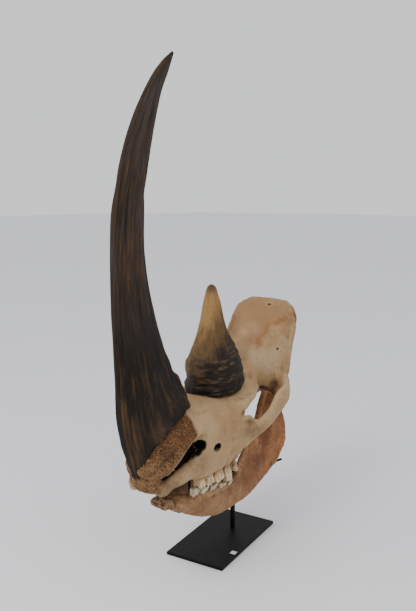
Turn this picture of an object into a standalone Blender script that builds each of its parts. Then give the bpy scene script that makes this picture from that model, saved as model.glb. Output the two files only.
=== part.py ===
"""Woolly rhinoceros skull with both horns, held by a steel armature on a base plate.

Frame: +X is the animal's left and +Y points to the back of the skull, so the nose points
to -Y. +Z is up. The origin is the centre of the base plate's underside. Blender's unit is
the metre; the anatomy below is written in centimetres and scaled by CM.
"""

import math

import bmesh
import bpy
from mathutils import Matrix, Vector

CM = 0.01
UP = Vector((0.0, 0.0, 1.0))
SIDEWAYS = Vector((1.0, 0.0, 0.0))

# Driving dimensions, in centimetres
PLATE_WIDE = 20.0
PLATE_LONG = 35.3
PLATE_THICK = 1.0
POST_BAR = 1.2
POST_Y = 7.2
POST_TOP = 45.0
PLATE_EDGE = 0.08
JAW_BAR_Z = 21.7
JAW_BAR_WIDE = 2.4
JAW_BAR_THICK = 0.6
JAW_BAR_FRONT_Y = -29.0
CHIN_LIP_Z = 23.9
ROD_RADIUS = 0.38
ROD_SIDES = 10
SEAM = 0.05

# The rounded boss that the front horn sits on: a quarter of an ellipse seen from the side
SEAT_TOP_Y = -24.0
SEAT_REACH = 26.2
SEAT_FOOT_Z = 37.0
SEAT_RISE = 17.0
BROW_SEAT_Z = 52.4
SEAT_BLUNTNESS = 0.6
FRONT_HORN_SEAT = (-49.4, -23.4, 5.2)
REAR_HORN_SEAT = (-14.0, 4.8, 7.9)

# Cheek teeth: length of each from the front back, and the two rows that they stand in
TOOTH_LENGTHS = (3.4, 3.8, 4.2, 3.9, 2.0)
TOOTH_GAP = 0.18
TOOTH_SIDES = 10
TOOTH_SQUARENESS = 0.6
TOOTH_BEVEL = 0.3
TOOTH_GROOVE = 0.78
UPPER_ROW = {
    "name": "upper", "front_y": -26.8, "x": (6.2, 9.2), "wide": 3.6, "lean": 0.3,
    "root_z": (33.4, 32.6), "crown_z": (29.9, 27.4),
}
LOWER_ROW = {
    "name": "lower", "front_y": -27.6, "x": (5.2, 8.3), "wide": 2.5, "lean": 0.1,
    "root_z": (26.6, 25.2), "crown_z": (29.8, 27.3),
}

# Routes of the round rods of the armature
JAW_ARMS_ROUTE = [
    (-12.7, 17.4, 24.1), (-11.6, 16.2, 23.7), (-1.2, 8.8, 22.8), (0.0, 8.45, 22.8),
    (1.2, 8.8, 22.8), (11.6, 16.2, 23.7), (12.7, 17.4, 24.1),
]
PALATE_ROD_ROUTE = [(0.0, -20.0, JAW_BAR_Z + SEAM), (0.0, -20.0, 38.2)]
PALATE_HOLE_ROUTE = [(0.0, -20.0, 30.0), (0.0, -20.0, 38.2 + SEAM)]

# Natural holes of the cranium: middle and radius
CRANIUM_PITS = (
    ((10.3, -21.5, 41.6), 1.05),
    ((-10.3, -21.5, 41.6), 1.05),
    ((9.8, 19.4, 60.9), 0.6),
    ((-9.8, 19.4, 60.9), 0.6),
    ((2.9, 26.5, 72.9), 0.5),
)

# How finely the bones are skinned, in centimetres, and how many faces are kept
BONE_VOXEL = 0.45
CRANIUM_KEPT = 0.034
MANDIBLE_KEPT = 0.029


def clear_scene():
    for thing in list(bpy.data.objects):
        bpy.data.objects.remove(thing, do_unlink=True)


def make_material(name, color, roughness, metallic=0.0):
    material = bpy.data.materials.new(name)
    material.use_nodes = True
    shader = material.node_tree.nodes["Principled BSDF"]
    shader.inputs["Base Color"].default_value = (*color, 1.0)
    shader.inputs["Roughness"].default_value = roughness
    shader.inputs["Metallic"].default_value = metallic
    return material


def make_object(name, bm, material=None):
    """Turns a bmesh into a linked object and frees the bmesh."""
    mesh = bpy.data.meshes.new(name)
    bm.to_mesh(mesh)
    bm.free()
    thing = bpy.data.objects.new(name, mesh)
    bpy.context.scene.collection.objects.link(thing)
    if material:
        mesh.materials.append(material)
    return thing


def hide_as_cutter(thing):
    thing.hide_render = True
    thing.display_type = "WIRE"
    return thing


def make_cutter(name, bm):
    return hide_as_cutter(make_object(name, bm))


# Clay forms: the closed shapes that the bones are built up from


def add_limb(bm, stations, across=None, sides=16):
    """Lofts ellipses along a path.

    A station is (x, y, z, half width, half height). The ellipses stand square to the path;
    their width runs along `across`, or level where none is given.
    """
    centres = [Vector(station[:3]) * CM for station in stations]
    last = len(centres) - 1
    loops = []
    first_face = len(bm.faces)
    for index, (_, _, _, wide, high) in enumerate(stations):
        along = (centres[min(index + 1, last)] - centres[max(index - 1, 0)]).normalized()
        width_axis = across or along.cross(UP).normalized()
        height_axis = width_axis.cross(along)
        frame = Matrix((width_axis * wide, height_axis * high, along)).transposed().to_4x4()
        frame.translation = centres[index]
        loop = bmesh.ops.create_circle(
            bm, cap_ends=index in (0, last), segments=sides, radius=CM, matrix=frame
        )
        loops.append(loop["verts"])
    for near, far in zip(loops, loops[1:]):
        for step in range(sides):
            follow = (step + 1) % sides
            wall = bm.faces.new((near[step], near[follow], far[follow], far[step]))
            wall.smooth = True
    bm.faces.ensure_lookup_table()
    bmesh.ops.recalc_face_normals(bm, faces=bm.faces[first_face:])


def add_slab(bm, outline, push):
    """Pushes an outline of (x, y, z) points through by the vector `push`."""
    first_face = len(bm.faces)
    corners = [bm.verts.new(Vector(point) * CM) for point in outline]
    face = bm.faces.new(corners)
    pushed = bmesh.ops.extrude_face_region(bm, geom=[face], use_keep_orig=True)
    moved = [item for item in pushed["geom"] if isinstance(item, bmesh.types.BMVert)]
    bmesh.ops.translate(bm, verts=moved, vec=Vector(push) * CM)
    bm.faces.ensure_lookup_table()
    bmesh.ops.recalc_face_normals(bm, faces=bm.faces[first_face:])


def mirrored_outline(half):
    """Closes a half outline, listed from the middle outwards and round, across X."""
    return half + [(-x, y, z) for x, y, z in reversed(half) if x > 0]


def mirror_forms(bm):
    """Copies every form to the other side."""
    copy = bmesh.ops.duplicate(bm, geom=bm.verts[:] + bm.edges[:] + bm.faces[:])["geom"]
    verts = [item for item in copy if isinstance(item, bmesh.types.BMVert)]
    faces = [item for item in copy if isinstance(item, bmesh.types.BMFace)]
    bmesh.ops.scale(bm, vec=(-1.0, 1.0, 1.0), verts=verts)
    bmesh.ops.reverse_faces(bm, faces=faces)


def skin_bone(bone, kept, smoothing):
    """Melts the forms of a bone into one skin, softens it and keeps the faces it needs."""
    skin = bone.modifiers.new("Skin", "REMESH")
    skin.mode = "VOXEL"
    skin.voxel_size = BONE_VOXEL * CM
    skin.use_smooth_shade = True
    soften = bone.modifiers.new("Soften", "SMOOTH")
    soften.factor = 0.5
    soften.iterations = smoothing
    thin = bone.modifiers.new("Keep main faces", "DECIMATE")
    thin.ratio = kept


def cut_from(thing, name, cutters):
    """Cuts a collection of cutters from an object."""
    group = bpy.data.collections.new(name)
    for cutter in cutters:
        group.objects.link(cutter)
    cut = thing.modifiers.new(name, "BOOLEAN")
    cut.operation = "DIFFERENCE"
    cut.solver = "EXACT"
    cut.operand_type = "COLLECTION"
    cut.collection = group


# Cranium


def add_nose(bm):
    """Nasal bones under the front horn, with the bony wall that closes the nose in front."""
    add_limb(bm, [
        (0, -46.9, 40.3, 2.8, 2.0),
        (0, -45.6, 41.8, 4.2, 3.8),
        (0, -43.4, 44.0, 5.2, 5.0),
        (0, -40.0, 46.0, 6.1, 5.6),
        (0, -36.0, 47.6, 6.8, 5.7),
        (0, -30.0, 49.2, 7.8, 5.3),
        (0, -24.0, 49.8, 9.0, 4.7),
        (0, -18.0, 49.7, 10.0, 4.2),
        (0, -12.0, 49.4, 10.8, 3.6),
        (0, -5.0, 49.6, 11.4, 3.6),
        (0, 1.0, 50.2, 10.3, 4.2),
        (0, 7.0, 52.2, 8.4, 4.8),
        (0, 12.0, 55.4, 6.8, 5.2),
    ], SIDEWAYS, 24)
    add_limb(bm, [
        (0, -44.8, 42.0, 3.4, 2.6),
        (0, -43.9, 38.8, 4.3, 2.9),
        (0, -42.5, 36.4, 4.8, 2.8),
        (0, -41.0, 34.9, 4.7, 2.2),
    ], SIDEWAYS)
    add_limb(bm, [
        (3.0, -44.6, 40.0, 1.4, 1.6),
        (5.1, -41.2, 40.8, 1.4, 2.2),
        (6.1, -36.6, 43.8, 1.5, 2.4),
        (6.9, -31.4, 47.2, 1.6, 1.9),
        (8.2, -26.0, 48.9, 2.0, 2.0),
    ])
    add_slab(bm, [
        (-0.7, -44, 36), (-0.7, -44, 42), (-0.7, -30, 47), (-0.7, -22, 46),
        (-0.7, -22, 40), (-0.7, -34, 37),
    ], (1.4, 0, 0))


def add_face(bm):
    """Premaxilla, maxilla and the block of the face between the orbits."""
    add_limb(bm, [
        (4.0, -42.4, 36.0, 1.8, 2.0),
        (4.9, -38.8, 35.0, 2.0, 3.1),
        (5.9, -34.6, 36.0, 1.9, 2.9),
        (6.9, -30.6, 37.0, 2.0, 3.0),
        (7.6, -27.0, 38.0, 2.2, 4.1),
        (8.2, -24.0, 38.8, 2.4, 5.0),
    ])
    add_limb(bm, [
        (7.2, -27.6, 37.0, 1.6, 3.0),
        (7.7, -24.8, 37.4, 2.0, 4.9),
        (8.0, -22.0, 38.0, 2.3, 6.4),
        (8.6, -16.0, 38.8, 2.4, 7.2),
        (9.1, -10.0, 38.9, 2.3, 7.1),
        (9.6, -6.4, 39.8, 1.9, 4.8),
    ])
    add_limb(bm, [
        (8.2, -25.0, 45.4, 1.2, 1.8),
        (9.0, -22.4, 45.4, 1.8, 4.2),
        (9.4, -18.0, 45.6, 2.0, 5.0),
        (10.0, -12.0, 45.4, 2.0, 4.8),
        (10.2, -7.8, 44.2, 1.6, 2.8),
    ])
    add_limb(bm, [
        (0, -26.0, 44.5, 7.2, 4.0),
        (0, -20.0, 44.8, 8.6, 6.4),
        (0, -10.0, 45.2, 9.2, 6.6),
        (0, -3.0, 46.4, 7.4, 5.2),
        (0, 4.0, 48.2, 6.0, 4.8),
    ], SIDEWAYS, 20)
    add_limb(bm, [
        (0, -34.0, 38.6, 4.4, 1.2),
        (0, -28.0, 38.6, 5.6, 1.6),
        (0, -20.0, 39.0, 6.6, 2.4),
    ], SIDEWAYS)


def add_brows_and_arches(bm):
    """Brow over the orbit, rough cheek in front of it, and the zygomatic arch."""
    add_limb(bm, [
        (8.2, -13.5, 49.6, 2.4, 2.4),
        (10.8, -6.0, 49.8, 1.4, 1.7),
        (10.1, 1.0, 50.5, 1.1, 1.0),
        (8.4, 7.5, 51.8, 1.1, 1.1),
    ])
    add_limb(bm, [
        (10.2, -9.0, 43.4, 2.0, 3.6),
        (11.2, -5.6, 42.8, 1.7, 3.2),
        (12.6, -3.0, 42.6, 1.2, 1.9),
    ])
    add_limb(bm, [
        (9.8, -11.5, 39.2, 2.0, 3.8),
        (11.4, -7.6, 40.0, 1.7, 3.5),
        (12.8, -4.8, 41.2, 1.4, 2.8),
        (14.5, -1.6, 42.4, 1.2, 2.5),
        (15.8, 3.0, 44.9, 1.2, 2.5),
        (16.4, 7.4, 48.1, 1.2, 3.8),
        (15.9, 12.0, 49.8, 1.4, 3.7),
        (13.6, 16.4, 51.4, 1.8, 3.0),
        (10.6, 20.0, 52.6, 2.4, 3.4),
    ])
    add_limb(bm, [
        (14.2, 14.8, 49.6, 1.6, 1.8),
        (10.8, 17.0, 49.8, 2.2, 2.0),
        (6.6, 17.8, 51.4, 3.0, 3.6),
    ])


def add_braincase(bm):
    """Braincase, the roof that climbs to the crest, and the broad occiput behind."""
    add_limb(bm, [
        (0, 0.0, 49.6, 6.4, 5.6),
        (0, 6.0, 50.6, 6.4, 6.2),
        (0, 12.0, 53.0, 7.0, 8.0),
        (0, 18.0, 56.0, 8.4, 9.6),
        (0, 24.0, 58.2, 10.2, 11.0),
    ], SIDEWAYS, 20)
    add_limb(bm, [
        (0, 4.0, 55.6, 6.4, 3.2),
        (0, 10.0, 59.6, 6.4, 3.4),
        (0, 16.0, 63.4, 7.4, 3.6),
        (0, 22.0, 67.2, 8.4, 3.6),
        (0, 27.0, 70.0, 9.0, 3.2),
        (0, 30.4, 71.8, 8.8, 2.4),
    ], SIDEWAYS, 20)
    add_slab(bm, [
        (6.4, 6.0, 55.5), (7.8, 11.0, 60.3), (8.7, 17.0, 64.6), (9.8, 23.0, 68.2),
        (10.5, 28.5, 70.2), (11.0, 27.0, 62.0), (11.1, 25.0, 54.0), (10.4, 21.5, 47.2),
        (9.6, 17.0, 47.8), (8.5, 13.0, 50.0), (6.8, 7.4, 50.8),
    ], (-4.4, 0, 0))
    add_slab(bm, mirrored_outline([
        (0, 32.4, 74.2), (6.2, 32.2, 73.9), (9.3, 31.8, 72.2), (11.1, 31.2, 69.0),
        (11.4, 29.2, 63.0), (11.5, 26.4, 56.5), (11.6, 24.6, 52.0), (9.8, 24.6, 47.0),
        (4.0, 26.0, 43.8),
    ]), (0, -3.4, 0.8))
    add_limb(bm, [
        (2.2, 23.5, 45.6, 2.0, 2.6),
        (3.6, 27.6, 45.4, 2.2, 2.7),
        (3.8, 29.6, 45.4, 1.5, 1.9),
    ])


def add_skull_base(bm):
    """Basicranium, wings behind the palate and the processes round the jaw joint."""
    add_limb(bm, [
        (0, -5.0, 42.6, 4.6, 3.0),
        (0, 4.0, 44.2, 3.2, 2.2),
        (0, 12.0, 45.8, 3.4, 2.2),
        (0, 20.0, 46.8, 3.8, 2.6),
        (0, 26.0, 46.8, 3.4, 2.6),
    ], SIDEWAYS)
    add_slab(bm, [
        (3.6, -8, 41), (3.8, -5, 36), (4.2, 0, 35), (4.4, 4, 38), (4.2, 6, 44), (3.8, -1, 45),
    ], (1.2, 0, 0))
    add_limb(bm, [
        (10.2, 22.6, 50.0, 1.8, 2.0),
        (9.6, 21.8, 46.0, 1.4, 1.6),
        (8.8, 21.2, 42.4, 1.0, 1.1),
        (8.5, 20.8, 40.4, 0.7, 0.7),
    ], SIDEWAYS)
    add_limb(bm, [
        (10.6, 16.6, 50.0, 2.2, 1.6),
        (10.2, 16.8, 46.0, 1.6, 1.2),
        (9.8, 17.2, 43.4, 0.9, 0.8),
    ], SIDEWAYS)


def make_cranium(material):
    bm = bmesh.new()
    add_nose(bm)
    add_face(bm)
    add_brows_and_arches(bm)
    add_braincase(bm)
    add_skull_base(bm)
    mirror_forms(bm)
    cranium = make_object("cranium", bm, material)
    skin_bone(cranium, CRANIUM_KEPT, 8)
    return cranium


# Mandible


def make_mandible(material):
    bm = bmesh.new()
    add_limb(bm, [
        (0, -36.8, 28.0, 2.6, 1.2),
        (0, -35.2, 27.6, 3.6, 2.0),
        (0, -32.6, 26.7, 3.4, 2.3),
        (0, -30.0, 26.2, 3.5, 2.6),
        (0, -27.0, 25.8, 3.0, 2.2),
    ], SIDEWAYS)
    add_limb(bm, [
        (2.2, -32.6, 26.6, 1.8, 2.4),
        (4.0, -28.5, 25.2, 2.1, 3.2),
        (5.4, -24.0, 24.0, 2.2, 4.3),
        (6.8, -16.5, 22.5, 2.3, 5.2),
        (8.0, -9.0, 22.0, 2.4, 5.2),
        (9.1, -2.0, 22.7, 2.3, 5.4),
        (10.2, 4.0, 25.8, 2.0, 5.9),
    ])
    add_slab(bm, [
        (8.4, -6.6, 26), (8.0, -3.4, 31), (7.8, 4.0, 37), (7.8, 8.0, 43), (7.8, 10.8, 48.0),
        (7.8, 12.2, 48.8), (8.2, 13.6, 48.2), (9.4, 15.2, 45.6), (10.4, 17.4, 42.4),
        (11.0, 19.2, 37.0), (11.4, 19.2, 31.0), (11.0, 14.6, 25.2), (9.8, 5.0, 21.4),
        (8.8, -2.0, 18.6),
    ], (2.0, 0, 0))
    add_limb(bm, [
        (10.3, 6.0, 22.2, 1.3, 1.4),
        (11.7, 13.4, 25.4, 1.3, 1.5),
        (12.1, 18.0, 30.0, 1.2, 1.5),
        (11.6, 18.8, 35.5, 1.1, 1.3),
    ])
    add_limb(bm, [
        (7.2, 13.4, 43.4, 1.2, 1.1),
        (10.0, 13.4, 43.8, 1.5, 1.5),
        (13.2, 13.2, 43.4, 1.2, 1.1),
    ])
    mirror_forms(bm)
    mandible = make_object("mandible", bm, material)
    skin_bone(mandible, MANDIBLE_KEPT, 4)
    return mandible


# Horns


def nose_seat(y):
    """Height of the rounded nasal boss that the front horn's base follows, in centimetres."""
    reach = min(max((SEAT_TOP_Y - y) / SEAT_REACH, 0.0), 1.0)
    return SEAT_FOOT_Z + SEAT_RISE * math.sqrt(1.0 - reach * reach)


def brow_seat(y):
    """Height of the frontal boss under the rear horn."""
    return BROW_SEAT_Z


def add_horn(bm, seat, seat_height, stations, grow, sides=20):
    """Lofts a horn from its oval seat up to its tip.

    `seat` is (front y, rear y, half width) and `seat_height` gives its height at any y.
    A station is (y, z, fore-and-aft size, thickness). Every ring stands square to the
    curve of the horn, and `grow` widens it all round.
    """
    front_y, rear_y, half_width = seat
    middle_y = (front_y + rear_y) / 2
    centres = [Vector((0.0, middle_y, seat_height(middle_y)))]
    centres += [Vector((0.0, y, z)) for y, z, _, _ in stations]
    sizes = [((rear_y - front_y) / 2, half_width)]
    sizes += [(deep / 2, thick / 2) for _, _, deep, thick in stations]
    last = len(centres) - 1
    loops = []
    for index, (deep, thick) in enumerate(sizes):
        along = centres[min(index + 1, last)] - centres[max(index - 1, 0)]
        deep_axis = Vector((0.0, 1.0, 0.0)) if index == 0 else along.normalized().cross(SIDEWAYS)
        frame = Matrix((
            SIDEWAYS * (thick + grow), deep_axis * (deep + grow), SIDEWAYS.cross(deep_axis),
        )).transposed().to_4x4()
        frame.translation = centres[index]
        loop = bmesh.ops.create_circle(
            bm, cap_ends=index == last, segments=sides, radius=1.0, matrix=frame
        )
        loops.append(loop["verts"])
    for step, corner in enumerate(loops[0]):
        turn = math.tau * step / sides
        bluntness = abs(math.sin(turn)) ** SEAT_BLUNTNESS
        corner.co.x = math.copysign(bluntness, corner.co.x) * (half_width + grow)
        corner.co.z = seat_height(corner.co.y) - grow
    for near, far in zip(loops, loops[1:]):
        for step in range(sides):
            follow = (step + 1) % sides
            wall = bm.faces.new((near[step], near[follow], far[follow], far[step]))
            wall.smooth = True
    close_across(bm, loops[0])
    bmesh.ops.triangulate(bm, faces=bm.faces[:], quad_method="FIXED")
    bmesh.ops.scale(bm, vec=(CM, CM, CM), verts=bm.verts[:])
    bmesh.ops.recalc_face_normals(bm, faces=bm.faces[:])


def close_across(bm, loop):
    """Closes a ring with strips that run from its left side straight to its right side."""
    from_front = sorted(loop, key=lambda corner: (round(corner.co.y, 4), corner.co.x))
    lefts = [corner for corner in from_front if corner.co.x > 0.001]
    rights = [corner for corner in from_front if corner.co.x < -0.001]
    tips = [corner for corner in from_front if abs(corner.co.x) <= 0.001]
    for near in range(len(lefts) - 1):
        bm.faces.new((lefts[near], lefts[near + 1], rights[near + 1], rights[near]))
    bm.faces.new((tips[0], lefts[0], rights[0]))
    bm.faces.new((tips[-1], rights[-1], lefts[-1]))


FRONT_HORN_STATIONS = [
    (-39.5, 56.0, 28.2, 11.2),
    (-41.8, 61.6, 24.9, 10.2),
    (-43.0, 66.6, 22.8, 9.0),
    (-44.5, 72.0, 20.2, 8.0),
    (-47.6, 86.0, 15.8, 6.4),
    (-49.0, 100.0, 13.0, 5.3),
    (-48.3, 112.0, 11.7, 4.9),
    (-45.5, 123.0, 10.3, 4.4),
    (-41.1, 133.0, 8.5, 3.8),
    (-35.7, 142.0, 5.5, 2.5),
    (-31.0, 147.2, 3.5, 1.6),
    (-27.2, 150.8, 0.8, 0.6),
]
REAR_HORN_STATIONS = [
    (-4.7, 53.8, 20.0, 16.8),
    (-4.7, 55.0, 20.0, 16.8),
    (-5.0, 56.4, 19.9, 16.6),
    (-5.0, 58.0, 19.5, 16.3),
    (-5.6, 60.2, 19.5, 16.0),
    (-5.9, 62.4, 18.8, 15.5),
    (-6.0, 66.0, 15.4, 12.8),
    (-6.5, 70.0, 11.4, 9.5),
    (-6.7, 75.0, 8.1, 6.8),
    (-6.8, 80.0, 5.8, 4.9),
    (-6.9, 83.4, 3.5, 3.0),
    (-6.9, 85.3, 2.0, 1.7),
]


def make_front_horn(name, material, grow=0.0):
    bm = bmesh.new()
    add_horn(bm, FRONT_HORN_SEAT, nose_seat, FRONT_HORN_STATIONS, grow)
    return make_object(name, bm, material)


def make_rear_horn(name, material, grow=0.0):
    bm = bmesh.new()
    add_horn(bm, REAR_HORN_SEAT, brow_seat, REAR_HORN_STATIONS, grow)
    return make_object(name, bm, material)


# Teeth


def add_tooth(bm, root, crown, long, wide, grow):
    """Lofts one cheek tooth between two heights, with a groove down its two long faces."""
    x, y, root_z = root
    crown_x, crown_y, crown_z = crown
    away = -1.0 if crown_z < root_z else 1.0
    levels = [
        (x, y, root_z - away * grow, 0.80),
        (crown_x, crown_y, crown_z + away * (grow - TOOTH_BEVEL), 1.0),
        (crown_x, crown_y, crown_z + away * grow, 0.86),
    ]
    loops = []
    for index, (level_x, level_y, level_z, fill) in enumerate(levels):
        half_wide = wide / 2 * fill + grow
        half_long = long / 2 * fill + grow
        frame = Matrix.Translation((level_x, level_y, level_z))
        loop = bmesh.ops.create_circle(
            bm, cap_ends=index in (0, 2), segments=TOOTH_SIDES, radius=1.0, matrix=frame
        )["verts"]
        for step, corner in enumerate(loop):
            turn = math.tau * (step + 0.5) / TOOTH_SIDES
            across = math.copysign(abs(math.sin(turn)) ** TOOTH_SQUARENESS, math.sin(turn))
            along = math.copysign(abs(math.cos(turn)) ** TOOTH_SQUARENESS, math.cos(turn))
            if step % (TOOTH_SIDES // 2) == TOOTH_SIDES // 4:
                across *= TOOTH_GROOVE
            corner.co.x = level_x + half_wide * across
            corner.co.y = level_y + half_long * along
        loops.append(loop)
    for near, far in zip(loops, loops[1:]):
        for step in range(TOOTH_SIDES):
            follow = (step + 1) % TOOTH_SIDES
            bm.faces.new((near[step], near[follow], far[follow], far[step]))
    bmesh.ops.scale(bm, vec=(CM, CM, CM), verts=bm.verts[:])
    bmesh.ops.recalc_face_normals(bm, faces=bm.faces[:])


def tooth_places(row):
    """Gives the middle y and the share of the way back of each tooth of a row."""
    y = row["front_y"]
    total = sum(TOOTH_LENGTHS) + TOOTH_GAP * (len(TOOTH_LENGTHS) - 1)
    for number, long in enumerate(TOOTH_LENGTHS, start=1):
        middle = y + long / 2
        yield number, middle, long, (middle - row["front_y"]) / total
        y += long + TOOTH_GAP


def between(pair, share):
    return pair[0] * (1.0 - share) + pair[1] * share


def make_tooth_row(row, side, make):
    """Makes a row's teeth, or their sockets, with `make(name, bmesh)`."""
    grow = SEAM if make is make_cutter else 0.0
    sign = 1.0 if side == "left" else -1.0
    made = []
    for number, y, long, share in tooth_places(row):
        x = sign * between(row["x"], share)
        root = (x, y, between(row["root_z"], share))
        crown = (x + sign * row["lean"], y, between(row["crown_z"], share))
        bm = bmesh.new()
        add_tooth(bm, root, crown, long, row["wide"], grow)
        label = "socket" if make is make_cutter else "tooth"
        made.append(make(f"{row['name']}_{label}_{side}_{number}", bm))
    return made


# Stand


def make_bar(name, low, high, grow, material=None):
    """Makes a straight square bar between two corners, in centimetres."""
    bm = bmesh.new()
    bmesh.ops.create_cube(bm, size=1.0)
    low = Vector(low) - Vector((grow, grow, grow))
    high = Vector(high) + Vector((grow, grow, grow))
    bmesh.ops.scale(bm, vec=(high - low) * CM, verts=bm.verts[:])
    bmesh.ops.translate(bm, vec=(high + low) / 2 * CM, verts=bm.verts[:])
    return make_object(name, bm, material)


def make_base_plate(material):
    plate = make_bar(
        "base_plate",
        (-PLATE_WIDE / 2, -PLATE_LONG / 2, 0.0),
        (PLATE_WIDE / 2, PLATE_LONG / 2, PLATE_THICK), 0.0, material,
    )
    edge = plate.modifiers.new("Soft edge", "BEVEL")
    edge.width = PLATE_EDGE * CM
    edge.segments = 1
    return plate


def make_post(name, material, grow=0.0):
    half = POST_BAR / 2
    return make_bar(
        name, (-half, POST_Y - half, PLATE_THICK + SEAM), (half, POST_Y + half, POST_TOP),
        grow, material,
    )


def make_jaw_bar(name, material, grow=0.0):
    """Flat bar from the post forward, with a lip turned up under the chin."""
    half = JAW_BAR_WIDE / 2 + grow
    rear = POST_Y - POST_BAR / 2 - SEAM
    front = JAW_BAR_FRONT_Y - grow
    lip_rear = JAW_BAR_FRONT_Y + JAW_BAR_THICK + grow
    top = JAW_BAR_Z + grow
    floor = JAW_BAR_Z - JAW_BAR_THICK - grow
    outline = [
        (rear, floor), (front, floor), (front, CHIN_LIP_Z + grow),
        (lip_rear, CHIN_LIP_Z + grow), (lip_rear, top), (rear, top),
    ]
    bm = bmesh.new()
    add_slab(bm, [(-half, y, z) for y, z in outline], (2 * half, 0.0, 0.0))
    return make_object(name, bm, material)


def make_rod(name, route, radius, material=None, across=None):
    """Bends a round rod along a few points, in centimetres."""
    bm = bmesh.new()
    add_limb(bm, [(*place, radius, radius) for place in route], across, ROD_SIDES)
    return make_object(name, bm, material)


def add_pit(name, centre, radius, squash=1.0):
    """Makes a round cutter for a small hole in the bone."""
    bm = bmesh.new()
    bmesh.ops.create_icosphere(bm, subdivisions=1, radius=radius * CM)
    bmesh.ops.scale(bm, vec=(1.0, squash, 1.0), verts=bm.verts[:])
    bmesh.ops.translate(bm, vec=Vector(centre) * CM, verts=bm.verts[:])
    return make_cutter(name, bm)


def main():
    clear_scene()
    bone = make_material("cranium_bone", (0.62, 0.47, 0.33), 0.75)
    jaw_bone = make_material("mandible_bone", (0.50, 0.29, 0.16), 0.7)
    dark_horn = make_material("front_horn_keratin", (0.045, 0.032, 0.024), 0.6)
    pale_horn = make_material("rear_horn_keratin", (0.20, 0.13, 0.06), 0.6)
    enamel = make_material("tooth_enamel", (0.74, 0.64, 0.48), 0.45)
    steel = make_material("black_steel", (0.02, 0.02, 0.022), 0.45, 0.0)

    cranium = make_cranium(bone)
    mandible = make_mandible(jaw_bone)
    make_front_horn("front_horn", dark_horn)
    make_rear_horn("rear_horn", pale_horn)
    make_base_plate(steel)
    make_post("post", steel)
    make_jaw_bar("jaw_bar", steel)
    make_rod("jaw_arms", JAW_ARMS_ROUTE, ROD_RADIUS, steel)
    make_rod("palate_rod", PALATE_ROD_ROUTE, ROD_RADIUS, steel, SIDEWAYS)

    def enamelled(name, bm):
        return make_object(name, bm, enamel)

    skull_cutters = [
        hide_as_cutter(make_front_horn("front_horn_seat", None, SEAM)),
        hide_as_cutter(make_rear_horn("rear_horn_seat", None, SEAM)),
        hide_as_cutter(make_post("post_hole", None, SEAM)),
        hide_as_cutter(
            make_rod("palate_rod_hole", PALATE_HOLE_ROUTE, ROD_RADIUS + SEAM, None, SIDEWAYS)
        ),
        add_pit("spinal_opening", (0, 29.0, 50.0), 2.2, 1.4),
    ]
    jaw_cutters = [
        hide_as_cutter(make_jaw_bar("jaw_bar_groove", None, SEAM)),
        hide_as_cutter(make_rod("jaw_arms_groove", JAW_ARMS_ROUTE, ROD_RADIUS + SEAM)),
    ]
    for index, (place, radius) in enumerate(CRANIUM_PITS):
        skull_cutters.append(add_pit(f"pit_{index}", place, radius))
    for side in ("left", "right"):
        make_tooth_row(UPPER_ROW, side, enamelled)
        make_tooth_row(LOWER_ROW, side, enamelled)
        skull_cutters += make_tooth_row(UPPER_ROW, side, make_cutter)
        jaw_cutters += make_tooth_row(LOWER_ROW, side, make_cutter)
    cut_from(cranium, "cranium_cuts", skull_cutters)
    cut_from(mandible, "mandible_cuts", jaw_cutters)


main()
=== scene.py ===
# %% [markdown]
# # The skull of a woolly rhinoceros on its stand
#
# The real object is a fossil skull with its lower jaw, its cheek teeth and both horns, held
# up by a thin black steel armature. The solids that carry its sizes come from CAD. This
# lesson dresses each of them in a finer mesh and in a finish that is mixed from nodes.
#
# Everything here is in the frame of the CAD part: the nose points to -Y, the animal's left
# is +X, +Z is up, and the origin is the middle of the base plate's underside.

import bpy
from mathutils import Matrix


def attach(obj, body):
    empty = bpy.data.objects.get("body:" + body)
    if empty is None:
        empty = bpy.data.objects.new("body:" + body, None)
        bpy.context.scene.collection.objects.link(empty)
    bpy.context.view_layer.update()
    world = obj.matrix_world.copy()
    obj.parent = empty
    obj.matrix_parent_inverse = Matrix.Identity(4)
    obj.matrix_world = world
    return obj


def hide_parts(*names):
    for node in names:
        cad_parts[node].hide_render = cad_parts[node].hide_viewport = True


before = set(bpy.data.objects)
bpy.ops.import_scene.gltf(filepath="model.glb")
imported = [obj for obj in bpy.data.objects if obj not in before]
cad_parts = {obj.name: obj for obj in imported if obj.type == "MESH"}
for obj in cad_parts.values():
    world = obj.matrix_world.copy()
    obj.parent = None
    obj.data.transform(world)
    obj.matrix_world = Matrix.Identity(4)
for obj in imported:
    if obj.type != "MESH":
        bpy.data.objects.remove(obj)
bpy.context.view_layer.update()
print("CAD nodes:", len(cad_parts))

# %% [markdown]
# ## Tools and directions
#
# bmesh holds the modelling operators and numpy moves many vertices at once. The scene is in
# metres, but skulls are measured in centimetres, so the anatomy is written in centimetres
# and scaled by one named value.

# %% Tools that the lesson uses
import math

import bmesh
import bpy
import numpy as np
from mathutils import Matrix, Vector, noise

CM = 0.01
UP = Vector((0.0, 0.0, 1.0))
SIDEWAYS = Vector((1.0, 0.0, 0.0))
BACKWARD = Vector((0.0, 1.0, 0.0))
MIRRORED = (-1.0, 1.0, 1.0)
print("one unit is a metre; the anatomy is written in centimetres")

# %% [markdown]
# ## Clay forms
#
# A bone has no straight edges to draw, so a sculptor starts with lumps of clay: sausages
# that follow a path and slabs cut from a sheet. A sausage here is a row of circles, each
# squashed to an ellipse, with walls bridged from one to the next. The lumps may run into
# each other, because they are melted into one skin afterwards.


# %% A ring, and a limb lofted through rings
def ring(bm, place, across, upward, wide, high, sides):
    """Draws an ellipse of edges at a place; its two half sizes are in centimetres."""
    turn = Matrix((across * wide, upward * high, across.cross(upward))).transposed().to_4x4()
    turn.translation = place
    return bmesh.ops.create_circle(bm, segments=sides, radius=CM, matrix=turn)["verts"]


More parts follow.
